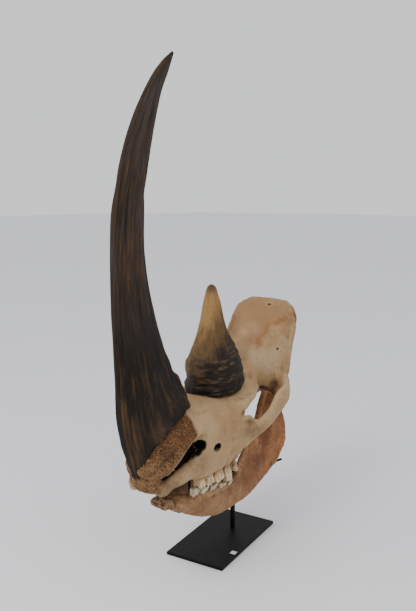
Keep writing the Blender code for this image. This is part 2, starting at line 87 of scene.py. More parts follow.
def bridge_rings(bm, rings):
    """Walls from each ring to the next, a lid on both ends, and all faces outwards."""
    first = len(bm.faces)
    loops = [list(dict.fromkeys(edge for vert in verts for edge in vert.link_edges)) for verts in rings]
    for near, far in zip(loops, loops[1:]):
        bmesh.ops.bridge_loops(bm, edges=near + far)
    for end in (loops[0], loops[-1]):
        bmesh.ops.edgeloop_fill(bm, edges=end)
    bm.faces.ensure_lookup_table()
    bmesh.ops.recalc_face_normals(bm, faces=bm.faces[first:])


def limb(bm, stations, across=None, sides=24):
    """A station is (x, y, z, half width, half height) in centimetres."""
    centres = [Vector(station[:3]) * CM for station in stations]
    last = len(centres) - 1
    rings = []
    for index, (_, _, _, wide, high) in enumerate(stations):
        along = (centres[min(index + 1, last)] - centres[max(index - 1, 0)]).normalized()
        sideways = across or along.cross(UP).normalized()
        rings.append(ring(bm, centres[index], sideways, sideways.cross(along), wide, high, sides))
    bridge_rings(bm, rings)


print("the sausage tools are ready")

# %% [markdown]
# ## Slabs and mirror copies
#
# Thin walls, such as the blade of the jaw, have an outline that no sausage follows. A slab is
# one face, extruded along a direction. The skull is the same on both sides, so only the left
# half is shaped, and a copy of it is scaled by -1 and turned right side out again.


# %% A slab pushed out of an outline
def slab(bm, outline, push):
    """The outline is a few (x, y, z) corners in centimetres, and push is its thickness."""
    first = len(bm.faces)
    face = bm.faces.new([bm.verts.new(Vector(corner) * CM) for corner in outline])
    made = bmesh.ops.extrude_face_region(bm, geom=[face], use_keep_orig=True)["geom"]
    moved = [item for item in made if isinstance(item, bmesh.types.BMVert)]
    bmesh.ops.translate(bm, verts=moved, vec=Vector(push) * CM)
    bm.faces.ensure_lookup_table()
    bmesh.ops.recalc_face_normals(bm, faces=bm.faces[first:])


def across_middle(half):
    """Closes a half outline across the skull's middle plane."""
    return half + [(-x, y, z) for x, y, z in reversed(half) if x > 0]


def copy_to_right(bm):
    """Every lump of the left side is copied to the right side."""
    made = bmesh.ops.duplicate(bm, geom=bm.verts[:] + bm.edges[:] + bm.faces[:])["geom"]
    verts = [item for item in made if isinstance(item, bmesh.types.BMVert)]
    faces = [item for item in made if isinstance(item, bmesh.types.BMFace)]
    bmesh.ops.scale(bm, vec=MIRRORED, verts=verts)
    bmesh.ops.reverse_faces(bm, faces=faces)


print("the sheet tools are ready")

# %% [markdown]
# ## One skin over the forms
#
# The voxel remesh melts the lumps into one closed skin, and a few rounds of smoothing take
# the steps out of it, as a wet sponge does on clay. The modifiers are then settled into the
# mesh, because the next step moves single vertices.


# %% Skin, settle and link
def as_object(name, bm):
    mesh = bpy.data.meshes.new(name)
    bm.to_mesh(mesh)
    bm.free()
    thing = bpy.data.objects.new(name, mesh)
    bpy.context.scene.collection.objects.link(thing)
    return thing


def settle(thing):
    """Puts what the modifiers make into the object's mesh."""
    graph = bpy.context.evaluated_depsgraph_get()
    mesh = bpy.data.meshes.new_from_object(thing.evaluated_get(graph))
    mesh.name = thing.name
    thing.modifiers.clear()
    thing.data = mesh
    return thing


def skin_over(name, bm, voxel, rounds):
    thing = as_object(name, bm)
    melt = thing.modifiers.new("Melt", "REMESH")
    melt.mode = "VOXEL"
    melt.voxel_size = voxel * CM
    melt.use_smooth_shade = True
    sponge = thing.modifiers.new("Sponge", "SMOOTH")
    sponge.factor = 0.5
    sponge.iterations = rounds
    settle(thing)
    print(name, len(thing.data.polygons), "faces")
    return thing


def refine(thing, chosen):
    """Cuts the faces between the chosen vertices in four, so that they can carry finer detail."""
    bm = bmesh.new()
    bm.from_mesh(thing.data)
    edges = [edge for edge in bm.edges if all(chosen[vert.index] for vert in edge.verts)]
    bmesh.ops.subdivide_edges(bm, edges=edges, cuts=1, use_grid_fill=True)
    bm.to_mesh(thing.data)
    bm.free()
    print(thing.name, "refined to", len(thing.data.polygons), "faces")


print("the skin tools are ready")

# %% [markdown]
# ## Weathering tools
#
# Old bone is never even. A sculptor would press, scratch and stipple it. Here each vertex
# moves along its normal by an amount that comes from noise, from the distance to a scratch
# or from the distance to a hole. The same amounts are stored on the mesh, so that the
# finish can darken exactly the places that were pressed in.


# %% Reading and moving all the vertices at once
def points_of(mesh):
    flat = np.empty(len(mesh.vertices) * 3)
    mesh.vertices.foreach_get("co", flat)
    return flat.reshape(-1, 3) / CM


def normals_of(mesh):
    flat = np.empty(len(mesh.vertices) * 3)
    mesh.vertices.foreach_get("normal", flat)
    return flat.reshape(-1, 3)


def place_points(mesh, points):
    mesh.vertices.foreach_set("co", (points * CM).ravel())
    mesh.update()


def raise_skin(mesh, heights):
    place_points(mesh, points_of(mesh) + normals_of(mesh) * heights[:, None])


def keep_amount(mesh, name, amounts):
    """Stores one number for each vertex under a name that the finish can read."""
    layer = mesh.attributes.new(name, "FLOAT", "POINT")
    layer.data.foreach_set("value", np.asarray(amounts, dtype=np.float32))


print("the vertex tools are ready")

# %% [markdown]
# ## Patterns
#
# A pattern is a number for each vertex: a soft step, a cloud of noise, the distance to a seed
# or the distance to a line. Multiplied, they say where a mark lies and how strong it is. They
# are worked out here and not in a modifier, because the finish needs the same numbers.


# %% Fades, noise, cells and distances
def fade(value, start, end):
    """0 at start and 1 at end, with a soft slope between them."""
    share = np.clip((value - start) / (end - start), 0.0, 1.0)
    return share * share * (3.0 - 2.0 * share)


def lumps(points, grain, octaves=3, stretch=(1.0, 1.0, 1.0)):
    """Cloudy noise from about -1 to 1; grain is the size of its lumps in centimetres."""
    spots = points * (np.array(stretch) / grain)
    return np.array([noise.fractal(Vector(spot), 1.0, 2.0, octaves) for spot in spots])


def cells(points, grain, where, stretch=(1.0, 1.0, 1.0)):
    """Distance to the nearest of many scattered seeds, only where `where` is above 0."""
    spots = points * (np.array(stretch) / grain)
    found = np.ones(len(points))
    for index in np.nonzero(where > 0.01)[0]:
        found[index] = noise.voronoi(Vector(spots[index]))[0][0]
    return found


def near(points, place, reach):
    """1 at a place and 0 from `reach` centimetres on."""
    return fade(np.linalg.norm((points - place) / reach, axis=1), 1.0, 0.0)


def off_path(points, path):
    """Distance from every point to a bent line."""
    best = np.full(len(points), 1e9)
    for start, end in zip(path, path[1:]):
        start, end = np.array(start), np.array(end)
        along = end - start
        share = np.clip((points - start) @ along / (along @ along), 0.0, 1.0)
        gap = np.linalg.norm(points - start - share[:, None] * along, axis=1)
        best = np.minimum(best, gap)
    return best


def both_sides(points):
    """The points folded onto the animal's left side."""
    return points * np.where(points[:, :1] < 0, MIRRORED, 1.0)


print("the pattern tools are ready")

# %% [markdown]
# ## Rubbing
#
# Sanding takes away bumps and leaves wide forms. Moving each vertex to the mean of its
# neighbours does the same, and a mask keeps the sandpaper off the places that stay rough.
# What the sandpaper would fill is a hollow, and what it would take off is an edge.


# %% Rubbing the skin smooth, and telling hollows from edges
def rubbed(mesh, rounds, where=1.0):
    """The points after each has moved towards its neighbours, as if sanded."""
    points = points_of(mesh)
    pairs = np.empty(len(mesh.edges) * 2, dtype=np.int64)
    mesh.edges.foreach_get("vertices", pairs)
    ends = np.concatenate((pairs[0::2], pairs[1::2]))
    others = np.concatenate((pairs[1::2], pairs[0::2]))
    count = np.maximum(np.bincount(ends, minlength=len(points)), 1)
    for _ in range(rounds):
        for axis in range(3):
            total = np.bincount(ends, points[others, axis], minlength=len(points))
            points[:, axis] += (total / count - points[:, axis]) * where
    return points


def hollowness(mesh, rounds):
    """Height of the rubbed skin over each vertex: above 0 in hollows, below 0 on edges."""
    return ((rubbed(mesh, rounds) - points_of(mesh)) * normals_of(mesh)).sum(axis=1)


def keep_hollows(mesh, name, rounds, gain):
    """Stores the hollowness as an amount from -1 on sharp edges to 1 in deep hollows."""
    keep_amount(mesh, name, np.clip(hollowness(mesh, rounds) * gain, -1.0, 1.0))


print("the rubbing tools are ready")

# %% [markdown]
# ## Cranium: the forms
#
# A woolly rhinoceros has a long, low skull whose roof climbs to a square crest at the back.
# The nose is a thick arch of bone that carries the front horn, and a bony wall closes it in
# front. The cheek arch swings out round the place where the jaw muscle went. The forms are
# laid in that order: nose, face, brows and arches, braincase, base.

# %% Nose and nostril
bm = bmesh.new()
limb(bm, [
    (0, -46.9, 40.3, 2.8, 2.0), (0, -45.6, 41.8, 4.2, 3.8), (0, -43.4, 44.0, 5.2, 5.0),
    (0, -40.0, 46.0, 6.1, 5.6), (0, -36.0, 47.6, 6.8, 5.7), (0, -30.0, 49.2, 7.8, 5.3),
    (0, -24.0, 49.8, 9.0, 4.7), (0, -18.0, 49.7, 10.0, 4.2), (0, -12.0, 49.4, 10.8, 3.6),
    (0, -5.0, 49.6, 11.4, 3.6), (0, 1.0, 50.2, 10.3, 4.2), (0, 7.0, 52.2, 8.4, 4.8),
    (0, 12.0, 55.4, 6.8, 5.2),
], SIDEWAYS, 32)
limb(bm, [
    (0, -44.8, 42.0, 3.4, 2.6), (0, -43.9, 38.8, 4.3, 2.9), (0, -42.5, 36.4, 4.8, 2.8),
    (0, -41.0, 34.9, 4.7, 2.2),
], SIDEWAYS)
limb(bm, [
    (3.0, -44.6, 40.0, 1.4, 1.6), (5.1, -41.2, 40.8, 1.4, 2.2), (6.1, -36.6, 43.8, 1.5, 2.4),
    (6.9, -31.4, 47.2, 1.6, 1.9), (8.2, -26.0, 48.9, 2.0, 2.0),
])
slab(bm, [
    (-0.7, -43.6, 34.6), (-0.7, -44, 42), (-0.7, -30, 47), (-0.7, -22, 46),
    (-0.7, -22, 38), (-0.7, -34, 34.8),
], (1.4, 0, 0))
print("nose forms:", len(bm.faces), "faces")

# %% [markdown]
# ## Face
#
# Two slim bones run forward under the nostril to the tip of the snout. Behind them the
# maxilla is a deep block that holds the roots of the cheek teeth. Sausages that overlap give
# its soft, full cheeks, where a box with bevels would look cut.

# %% Face: premaxilla, maxilla and the block between the orbits
limb(bm, [
    (4.1, -42.6, 35.5, 1.8, 2.3), (4.5, -41.0, 35.4, 1.9, 2.6), (5.0, -38.4, 36.1, 2.0, 2.1),
    (5.9, -34.6, 36.5, 1.9, 2.4), (6.9, -30.6, 37.4, 2.0, 2.6), (7.6, -27.0, 38.0, 2.2, 4.1),
    (8.2, -24.0, 38.8, 2.4, 5.0),
])
limb(bm, [
    (7.2, -27.6, 37.0, 1.6, 3.0), (7.7, -24.8, 37.4, 2.0, 4.9), (8.0, -22.0, 38.0, 2.3, 6.4),
    (8.6, -16.0, 38.8, 2.4, 7.2), (9.1, -10.0, 38.9, 2.3, 7.1), (9.6, -6.4, 39.8, 1.9, 4.8),
])
limb(bm, [
    (8.2, -25.0, 45.4, 1.2, 1.8), (9.0, -22.4, 45.4, 1.8, 4.2), (9.4, -18.0, 45.6, 2.0, 5.0),
    (10.0, -12.0, 45.4, 2.0, 4.8), (10.2, -7.8, 44.2, 1.6, 2.8),
])
limb(bm, [
    (0, -26.0, 44.5, 7.2, 4.0), (0, -20.0, 44.8, 8.6, 6.4), (0, -10.0, 45.2, 9.2, 6.6),
    (0, -3.0, 46.4, 7.4, 5.2), (0, 4.0, 48.2, 6.0, 4.8),
], SIDEWAYS, 28)
limb(bm, [
    (5.6, -29.4, 35.6, 1.2, 1.3), (6.4, -27.0, 34.0, 1.7, 1.7), (7.2, -24.4, 33.5, 2.1, 1.7),
    (8.0, -21.5, 33.2, 2.1, 1.6),
])
limb(bm, [
    (0, -34.0, 38.6, 4.4, 1.2), (0, -28.0, 38.6, 5.6, 1.6), (0, -20.0, 39.0, 6.6, 2.4),
], SIDEWAYS)
print("with the face:", len(bm.faces), "faces")

# %% [markdown]
# ## Brows and cheek arches
#
# The eye sat in the notch between the brow and the cheek arch. The arch is a flat bar that
# swings outwards and up to the braincase, and daylight shows between the two. A few small
# balls make the ragged knob in front of the eye.

# %% Brows, cheek arches and the ragged knob in front of the eye
limb(bm, [
    (8.2, -13.5, 49.6, 2.4, 2.4), (10.8, -6.0, 49.8, 1.4, 1.7), (10.1, 1.0, 50.5, 1.1, 1.0),
    (8.4, 7.5, 51.8, 1.1, 1.1),
])
limb(bm, [
    (10.2, -9.0, 43.4, 2.0, 3.6), (11.2, -5.6, 42.8, 1.7, 3.2), (12.6, -3.0, 42.6, 1.2, 1.9),
])
limb(bm, [
    (9.8, -11.5, 39.2, 2.0, 3.8), (11.4, -7.6, 40.0, 1.7, 3.5), (12.8, -4.8, 41.2, 1.4, 2.8),
    (14.5, -1.6, 42.4, 1.2, 2.5), (15.8, 3.0, 44.9, 1.2, 2.5), (16.4, 7.4, 48.1, 1.2, 3.8),
    (16.4, 11.8, 49.4, 1.4, 3.6), (13.6, 16.4, 50.6, 1.8, 3.0), (10.6, 20.0, 51.4, 2.2, 3.2),
])
limb(bm, [
    (14.2, 14.8, 48.8, 1.6, 1.8), (10.8, 17.0, 47.8, 2.2, 2.2), (6.6, 17.8, 49.8, 3.0, 3.8),
])
EYE_KNOBS = [
    (11.6, -7.6, 46.2, 0.9), (12.3, -6.4, 46.3, 0.8), (12.2, -5.2, 45.9, 0.9),
    (12.8, -4.4, 45.2, 0.7), (11.7, -4.6, 45.0, 0.9), (12.9, -3.2, 44.6, 0.6),
]
for x, y, z, radius in EYE_KNOBS:
    spot = Matrix.Translation(Vector((x, y, z)) * CM)
    bmesh.ops.create_icosphere(bm, subdivisions=2, radius=radius * CM, matrix=spot)
print("with brows and arches:", len(bm.faces), "faces")

# %% [markdown]
# ## Braincase
#
# The braincase hides under a sloping roof that ends in a broad crest, where the neck muscles
# held the heavy head. The crest and the side walls are slabs. The roof is a wide sausage with
# a thinner one along each side. Short ones below make the joints for the neck and the spurs
# by the joint of the jaw.

# %% Braincase, roof, crest and base
limb(bm, [
    (0, 0.0, 49.6, 6.4, 5.6), (0, 6.0, 50.6, 6.4, 6.2), (0, 12.0, 53.0, 7.0, 8.0),
    (0, 18.0, 56.0, 8.4, 9.6), (0, 24.0, 58.2, 10.2, 11.0),
], SIDEWAYS, 28)
limb(bm, [
    (0, 4.0, 55.6, 6.4, 3.2), (0, 10.0, 59.6, 6.4, 3.4), (0, 16.0, 63.4, 7.4, 3.6),
    (0, 22.0, 67.2, 8.4, 3.6), (0, 27.0, 70.6, 9.2, 3.4), (0, 30.4, 72.4, 9.2, 2.4),
], SIDEWAYS, 28)
limb(bm, [
    (5.2, 13.0, 61.2, 2.2, 2.4), (6.8, 19.0, 65.4, 2.2, 2.6), (7.8, 24.5, 68.8, 2.3, 2.8),
    (8.2, 29.6, 71.2, 2.3, 2.6),
])
slab(bm, [
    (6.4, 6.0, 55.5), (7.8, 11.0, 60.3), (8.7, 17.0, 64.6), (9.8, 23.0, 68.2),
    (10.5, 28.5, 70.2), (11.0, 27.0, 62.0), (11.1, 25.0, 54.0), (10.4, 21.5, 47.2),
    (9.6, 17.0, 47.8), (8.5, 13.0, 50.0), (6.8, 7.4, 50.8),
], (-4.4, 0, 0))
slab(bm, across_middle([
    (0, 32.4, 74.2), (6.2, 32.2, 73.9), (9.3, 31.8, 72.2), (11.1, 31.2, 69.0),
    (11.4, 29.2, 63.0), (11.5, 26.4, 56.5), (11.6, 24.6, 52.0), (9.8, 24.6, 47.0),
    (4.0, 26.0, 43.8),
]), (0, -3.4, 0.8))
limb(bm, [(2.2, 23.5, 45.6, 2.0, 2.6), (3.6, 27.6, 45.4, 2.2, 2.7), (3.8, 29.6, 45.4, 1.5, 1.9)])
limb(bm, [
    (0, -5.0, 42.6, 4.6, 3.0), (0, 4.0, 44.2, 3.2, 2.2), (0, 12.0, 45.8, 3.4, 2.2),
    (0, 20.0, 46.8, 3.8, 2.6), (0, 26.0, 46.8, 3.4, 2.6),
], SIDEWAYS)
slab(bm, [
    (3.6, -8, 41), (3.8, -5, 36), (4.2, 0, 35), (4.4, 4, 38), (4.2, 6, 44), (3.8, -1, 45),
], (1.2, 0, 0))
limb(bm, [
    (10.2, 22.6, 50.0, 1.8, 2.0), (9.6, 21.8, 46.0, 1.4, 1.6), (8.8, 21.2, 42.4, 1.0, 1.1),
    (8.5, 20.8, 40.4, 0.7, 0.7),
], SIDEWAYS)
limb(bm, [
    (10.6, 16.6, 50.0, 2.2, 1.6), (10.2, 16.8, 46.0, 1.6, 1.2), (9.8, 17.2, 43.4, 0.9, 0.8),
], SIDEWAYS)
copy_to_right(bm)
CRANIUM_VOXEL = 0.4
cranium = skin_over("fine_cranium", bm, CRANIUM_VOXEL, 10)

# %% [markdown]
# ## Cranium: the weathering
#
# The nose bones under the horn are rough as coral, because the horn grew on them. The
# maxilla is furrowed over the roots of the teeth, the crest has a chipped rim, and small
# holes let nerves and vessels through. Each of these is a patch with a soft edge.

# %% Where the nose is rough, and how it is pitted
SANDING_ROUNDS = 70
ROUGH_ENOUGH = 0.2


def nose_roughness(side):
    floor = np.interp(side[:, 1], (-46, -42, -40, -36, -31), (30.0, 35.8, 39.4, 41.8, 45.2))
    above_nostril = fade(side[:, 2] - floor, 0.0, 2.8)
    return above_nostril * fade(side[:, 1], -29.0, -31.0)


side = both_sides(points_of(cranium.data))
face = fade(side[:, 1], -29.5, -27.0) * fade(side[:, 1], -7.0, -10.0) * fade(side[:, 0], 5.5, 7.5)
vault = fade(side[:, 1], -1.0, 4.0) * fade(side[:, 1], 31.0, 27.5) * fade(side[:, 2], 49.5, 52.5)
vault *= (0.12 + 0.88 * fade(side[:, 1], 6.0, 11.0)) * fade(side[:, 0], 13.5, 11.5)
vault *= 1.0 - fade(side[:, 0], 9.4, 10.8) * fade(side[:, 1], 22.0, 25.0)
place_points(cranium.data, rubbed(cranium.data, SANDING_ROUNDS, np.maximum(face, vault)))

refine(cranium, nose_roughness(both_sides(points_of(cranium.data))) > ROUGH_ENOUGH)
points = points_of(cranium.data)
side = both_sides(points)
rugose = nose_roughness(side)
coral = cells(points, 0.62, rugose, (1.0, 0.8, 1.0))
pits = fade(rugose, 0.3, 0.9) * fade(coral, 0.5, 0.1)
knobs = fade(side[:, 1], -40.5, -44.5) * lumps(points, 1.9, 2)
print("rough nose vertices:", int((rugose > 0.5).sum()))

# %% [markdown]
# ## Small marks on the cranium
#
# Bone swells a little over each tooth root, its rims chip, and tools and roots scratch it.
# The furrows are a wave along the jaw, the rest is noise or the distance to a bent line.
# Marks of one to three millimetres are deep enough to catch the light.

# %% Unevenness, tooth furrows, chipped rims and scratches
FIRST_FURROW, FURROW_PITCH = -25.1, 3.9
uneven = lumps(points, 5.0, 4) * 0.16 + lumps(points, 1.3, 3) * 0.05
furrow_place = fade(side[:, 0], 7.0, 8.6) * fade(side[:, 2], 38.5, 35.0) * fade(side[:, 1], -29, -26)
furrow_place *= fade(side[:, 1], -6.0, -9.0) * (0.25 + fade(side[:, 1], -20.0, -13.0))
turns = (side[:, 1] - FIRST_FURROW) * math.tau / FURROW_PITCH
furrows = np.cos(turns) * 0.16 + np.cos(turns * 3.0) * 0.06
rim = fade(side[:, 1], 28.5, 31.0) * fade(side[:, 2], 52.0, 60.0)
chips = rim * lumps(points, 1.8, 3) * 0.2
brow_rough = near(points, (0.0, -5.0, 51.0), (13.0, 14.0, 4.0)) * lumps(points, 0.9, 3) * 0.10

SCRATCHES = [
    ([(10.0, -13.5, 49.4), (9.8, -16.5, 46.2), (9.9, -19.0, 43.2)], 0.24, 0.07),
    ([(12.6, -5.0, 43.2), (12.2, -7.6, 41.8), (11.4, -10.0, 40.8)], 0.30, 0.12),
    ([(8.6, -26.0, 46.6), (9.2, -22.4, 46.0), (9.8, -18.6, 46.8)], 0.26, 0.07),
    ([(15.6, 9.6, 51.4), (16.6, 8.6, 49.6), (16.4, 7.4, 47.6)], 0.24, 0.10),
]
scratch = np.zeros(len(points))
for path, width, depth in SCRATCHES:
    wander = off_path(side + lumps(points, 1.2, 2)[:, None] * 0.25, path)
    scratch = np.maximum(scratch, fade(wander, width, 0.0) * depth)
print("scratched vertices:", int((scratch > 0.0).sum()))

# %% [markdown]
# ## Crease of the roof
#
# The chewing muscle reached up the wall of the braincase to a line on the roof. The roof
# stands a little proud of that line and has kept an orange-brown seam along it. The line is
# given by a few points, and all the heights are added up and raised in one go, so that no
# mark is pushed along a normal that another mark has turned.

# %% The crease of the roof, and all the heights together
CREASE_Y = (10.8, 16.2, 19.8, 24.1, 29.8)
CREASE_X = (5.5, 5.7, 6.8, 9.4, 10.8)
inside = np.interp(side[:, 1], CREASE_Y, CREASE_X) - side[:, 0]
on_top = fade(side[:, 1], 9.0, 13.0) * fade(side[:, 2], 60.0, 63.5)
above = fade(inside, -0.8, 0.9) * on_top
crease = fade(np.abs(inside + lumps(points, 3.0, 2) * 0.6), 1.3, 0.0) * on_top
heights = uneven + above * 0.16 + furrow_place * furrows + chips + brow_rough - scratch
heights += rugose * (lumps(points, 1.1, 2) * 0.12) + knobs * 0.3 - pits * 0.2
raise_skin(cranium.data, heights)
print("deepest mark:", round(float(heights.min()), 2), "cm")

# %% [markdown]
# ## Holes
#
# The nostril ends in a deep slot, a round hole in front of the eye let out the nerve of the
# upper lip, and vessels left small pits in the temple and the crest. A boolean would leave
# sharp rims. Here the skin is pressed in along one direction, which keeps the mesh closed and
# gives a worn, rounded rim.

# %% Nostrils, and holes for nerves and vessels
HOLE_REACH = 2.0
INFRAORBITAL = ((10.2, -21.0, 41.3), (10.2, -21.0, 41.3), (-0.6, 0.8, 0.0), 1.2, 2.6, "both")
NOSTRIL_END = ((7.5, -25.9, 43.1), (6.5, -30.0, 41.9), (-0.5, 0.8, -0.1), 1.6, 3.5, "both")
TEMPLE_PIT = ((9.8, 19.4, 60.9), (9.8, 19.4, 60.9), (-1.0, 0.3, -0.3), 0.55, 0.9, "both")
CREST_PIT = ((2.9, 26.5, 72.9), (2.9, 26.5, 72.9), (0.0, 0.3, -1.0), 0.55, 0.9, "left")


def drill(mesh, start, end, inward, radius, depth, which):
    """Presses a round hole, or a slot from start to end, along one direction."""
    points = points_of(mesh)
    hole = np.zeros(len(points))
    signs = ((1.0, 1.0, 1.0), MIRRORED) if which == "both" else ((1.0, 1.0, 1.0),)
    for sign in signs:
        push = np.array(Vector(inward).normalized()) * sign
        gap = points - np.array(start) * sign
        run = (np.array(end) - start) * sign
        share = np.clip(gap @ run / max(run @ run, 0.01), 0.0, 1.0)
        gap = gap - share[:, None] * run
        deep = gap @ push
        aside = np.linalg.norm(gap - deep[:, None] * push, axis=1)
        shallow = np.abs(deep) < HOLE_REACH
        mark = fade(aside, radius, radius * 0.7) * shallow
        points += mark[:, None] * push * depth
        hole = np.maximum(hole, fade(aside, radius * 1.12, radius * 0.85) * shallow)
    place_points(mesh, points)
    return hole


holes = np.zeros(len(points))
for hole in (INFRAORBITAL, NOSTRIL_END, TEMPLE_PIT, CREST_PIT):
    holes = np.maximum(holes, drill(cranium.data, *hole))
print("vertices in holes:", int((holes > 0.5).sum()))

# %% [markdown]
# ## What the mesh tells the finish
#
# Colour follows form on old bone. The masks are stored on the vertices under plain names, so
# that the node recipes can read them: the rough nose, its pits, the holes and the nostril's
# passage, which are painted nearly black as painted shadow, the roof and its crease, the
# scratches, and how hollow each place is, close up and from afar, which the finish turns into
# painted shade, dirt and painted highlights.

# %% Store what the finish needs to know
# The nostril's passage, the end of its slot and the holes are marked to be painted nearly black as
# painted shadow.
NOSTRIL_RIM = (7.0, -27.8, 42.2)
nostril_shadow = fade(side[:, 0], 6.2, 4.8) * fade(side[:, 1], -43.5, -41.0) * fade(side[:, 1], -20.0, -24.0)
nostril_shadow *= fade(side[:, 2], 35.5, 37.5) * fade(side[:, 2], 47.5, 46.0)
nostril_shadow = np.maximum(nostril_shadow, fade(np.linalg.norm(side - NOSTRIL_RIM, axis=1), 2.2, 1.5))
roof = fade(side[:, 0], 8.4, 5.2) * fade(points[:, 1], 2.0, 9.0) * fade(points[:, 2], 56.0, 60.0)
keep_amount(cranium.data, "rugose", rugose)
keep_amount(cranium.data, "pitted", pits)
keep_amount(cranium.data, "dark", np.maximum(holes, nostril_shadow))
keep_amount(cranium.data, "scratched", scratch * 6.0)
keep_amount(cranium.data, "roof", np.maximum(roof * 0.5, above))
keep_amount(cranium.data, "crease", crease)
keep_hollows(cranium.data, "hollow", 5, 14.0)
keep_hollows(cranium.data, "sunken", 60, 1.6)
print("cranium is ready:", len(points), "vertices")

# %% [markdown]
# ## Mandible
#
# The lower jaw is two deep curved blades that meet at the chin. Behind the teeth each blade
# turns up into a broad plate with the joint on top. The chin is knobbly and full of small
# holes, and the corner of the jaw has a rough rim where the chewing muscle was tied down.

# %% Forms of the lower jaw
bm = bmesh.new()
limb(bm, [
    (0, -36.8, 28.0, 2.6, 1.2), (0, -35.2, 27.6, 3.6, 2.0), (0, -32.6, 26.7, 3.4, 2.3),
    (0, -30.0, 26.2, 3.5, 2.6), (0, -27.0, 25.8, 3.0, 2.2),
], SIDEWAYS)
limb(bm, [
    (2.2, -32.6, 26.6, 1.8, 2.4), (4.0, -28.5, 25.2, 2.1, 3.2), (5.4, -24.0, 24.0, 2.2, 4.3),
    (6.8, -16.5, 22.5, 2.3, 5.2), (8.0, -9.0, 22.0, 2.4, 5.2), (9.1, -2.0, 22.7, 2.3, 5.4),
    (10.2, 4.0, 25.8, 2.0, 5.9),
])
slab(bm, [
    (8.4, -8.6, 26), (8.0, -6.6, 31), (7.8, 0.4, 37), (7.8, 7.0, 43), (7.8, 10.8, 48.0),
    (7.8, 12.2, 48.8), (8.2, 13.6, 48.2), (9.4, 15.2, 45.6), (10.4, 17.4, 42.4),
    (11.0, 19.2, 37.0), (11.4, 19.2, 31.0), (11.0, 14.6, 25.2), (9.8, 5.0, 21.4),
    (8.8, -2.0, 18.6),
], (2.0, 0, 0))
limb(bm, [
    (10.3, 6.0, 22.2, 1.3, 1.4), (11.7, 13.4, 25.4, 1.3, 1.5), (12.1, 18.0, 30.0, 1.2, 1.5),
    (11.6, 18.8, 35.5, 1.1, 1.3),
])
limb(bm, [
    (4.8, -29.0, 26.4, 1.4, 1.3), (5.6, -25.6, 26.6, 1.8, 1.5), (6.6, -19.0, 26.0, 2.0, 1.6),
    (7.6, -12.0, 25.4, 2.0, 1.6), (8.2, -8.4, 25.0, 1.6, 1.4),
])
limb(bm, [(7.2, 13.4, 43.4, 1.2, 1.1), (10.0, 13.4, 43.8, 1.5, 1.5), (13.2, 13.2, 43.4, 1.2, 1.1)])
copy_to_right(bm)
JAW_VOXEL = 0.3
mandible = skin_over("fine_mandible", bm, JAW_VOXEL, 8)
along_jaw = points_of(mandible.data)[:, 1]
join = fade(along_jaw, -22.0, -27.0) * fade(along_jaw, -36.0, -33.5)
flank = fade(along_jaw, -13.0, -9.0) * fade(along_jaw, 8.0, 3.0)
place_points(mandible.data, rubbed(mandible.data, 40, np.maximum(join, flank)))

# %% [markdown]
# ## Small marks on the jaw
#
# The same pattern tools roughen the jaw: lumps and stipple at the chin, a ragged rim round
# the corner, and a faint swelling under each tooth.

# %% Weathering of the lower jaw
JAW_CORNER = [(10.3, 6.0, 21.6), (12.0, 14.0, 25.0), (12.4, 18.6, 30.5), (11.8, 19.4, 37.0)]
FIRST_SOCKET, SOCKET_PITCH = -25.9, 3.9
points = points_of(mandible.data)
side = both_sides(points)
chin = fade(points[:, 1], -30.0, -34.5)
stipple = chin * fade(cells(points, 0.8, chin), 0.55, 0.15)
corner = fade(off_path(side, JAW_CORNER), 2.6, 0.6)
heights = lumps(points, 4.0, 4) * 0.16 + lumps(points, 1.1, 3) * 0.05
heights += chin * lumps(points, 1.6, 2) * 0.42 - stipple * 0.12
heights += corner * lumps(points, 1.3, 3) * 0.24
sockets = fade(side[:, 2], 23.5, 25.5) * fade(side[:, 1], -5.5, -9.0) * fade(side[:, 1], -29.5, -27.0)
heights += sockets * np.cos((side[:, 1] - FIRST_SOCKET) * math.tau / SOCKET_PITCH) * 0.08
raise_skin(mandible.data, heights)
keep_amount(mandible.data, "pitted", stipple)
keep_amount(mandible.data, "rear", fade(points[:, 1], -16.0, 10.0))
keep_hollows(mandible.data, "hollow", 5, 14.0)
keep_hollows(mandible.data, "sunken", 60, 1.6)
print("mandible is ready:", len(points), "vertices")

# %% [markdown]
# ## Horns
#
# A rhinoceros horn has no bone in it. It is a bundle of hair-like fibres that grow upwards
# from the skin, so it is streaked and grooved along its length, and it splits and wrinkles
# near the foot. The shape is a loft through ovals. A few ovals are enough to describe it,
# and a curve that runs through all of them gives the many rings that fine grooves need.
# Each vertex remembers where it lies round the horn and along it, so that the grooves and
# streaks follow the horn instead of the room.


# %% A curve through all the stations
def through(rows, steps):
    """Rows between the given rows, on a smooth curve that passes each of them."""
    table = np.array(rows)
    padded = np.vstack((2 * table[0] - table[1], table, 2 * table[-1] - table[-2]))
    made = []
    for before, near_row, far_row, after in zip(padded, padded[1:], padded[2:], padded[3:]):
        for step in range(steps):
            t = step / steps
            pull = (far_row - before) * t
            bend = (2 * before - 5 * near_row + 4 * far_row - after) * t**2
            twist = (3 * near_row - before - 3 * far_row + after) * t**3
            made.append(near_row + (pull + bend + twist) / 2)
    return made + [table[-1]]


print("the curve tool is ready")

# %% [markdown]
# ## Seats
#
# The front horn grew over the end of the nose, so its foot follows a line that drops steeply
# at the front. The rear horn stands level on the brows. An oval whose points take their
# height from such a line drapes the foot over the bone.

# %% The line on which each horn sits
NOSE_LINE = [
    (-47.6, 39.8), (-45.9, 40.2), (-44.6, 41.8), (-43.2, 44.8), (-42.2, 47.2), (-40.4, 49.4),
    (-37.3, 51.6), (-33.0, 53.2), (-29.0, 54.2), (-23.4, 54.2),
]


def nose_seat(y):
    """Height of the line that the front horn's foot follows down the rounded nose."""
    return float(np.interp(y, *zip(*NOSE_LINE)))


def brow_seat(y):
    """The rear horn's foot lies level on the brows."""
    return 52.4


FRONT_POWER, REAR_POWER = 1.15, 0.6


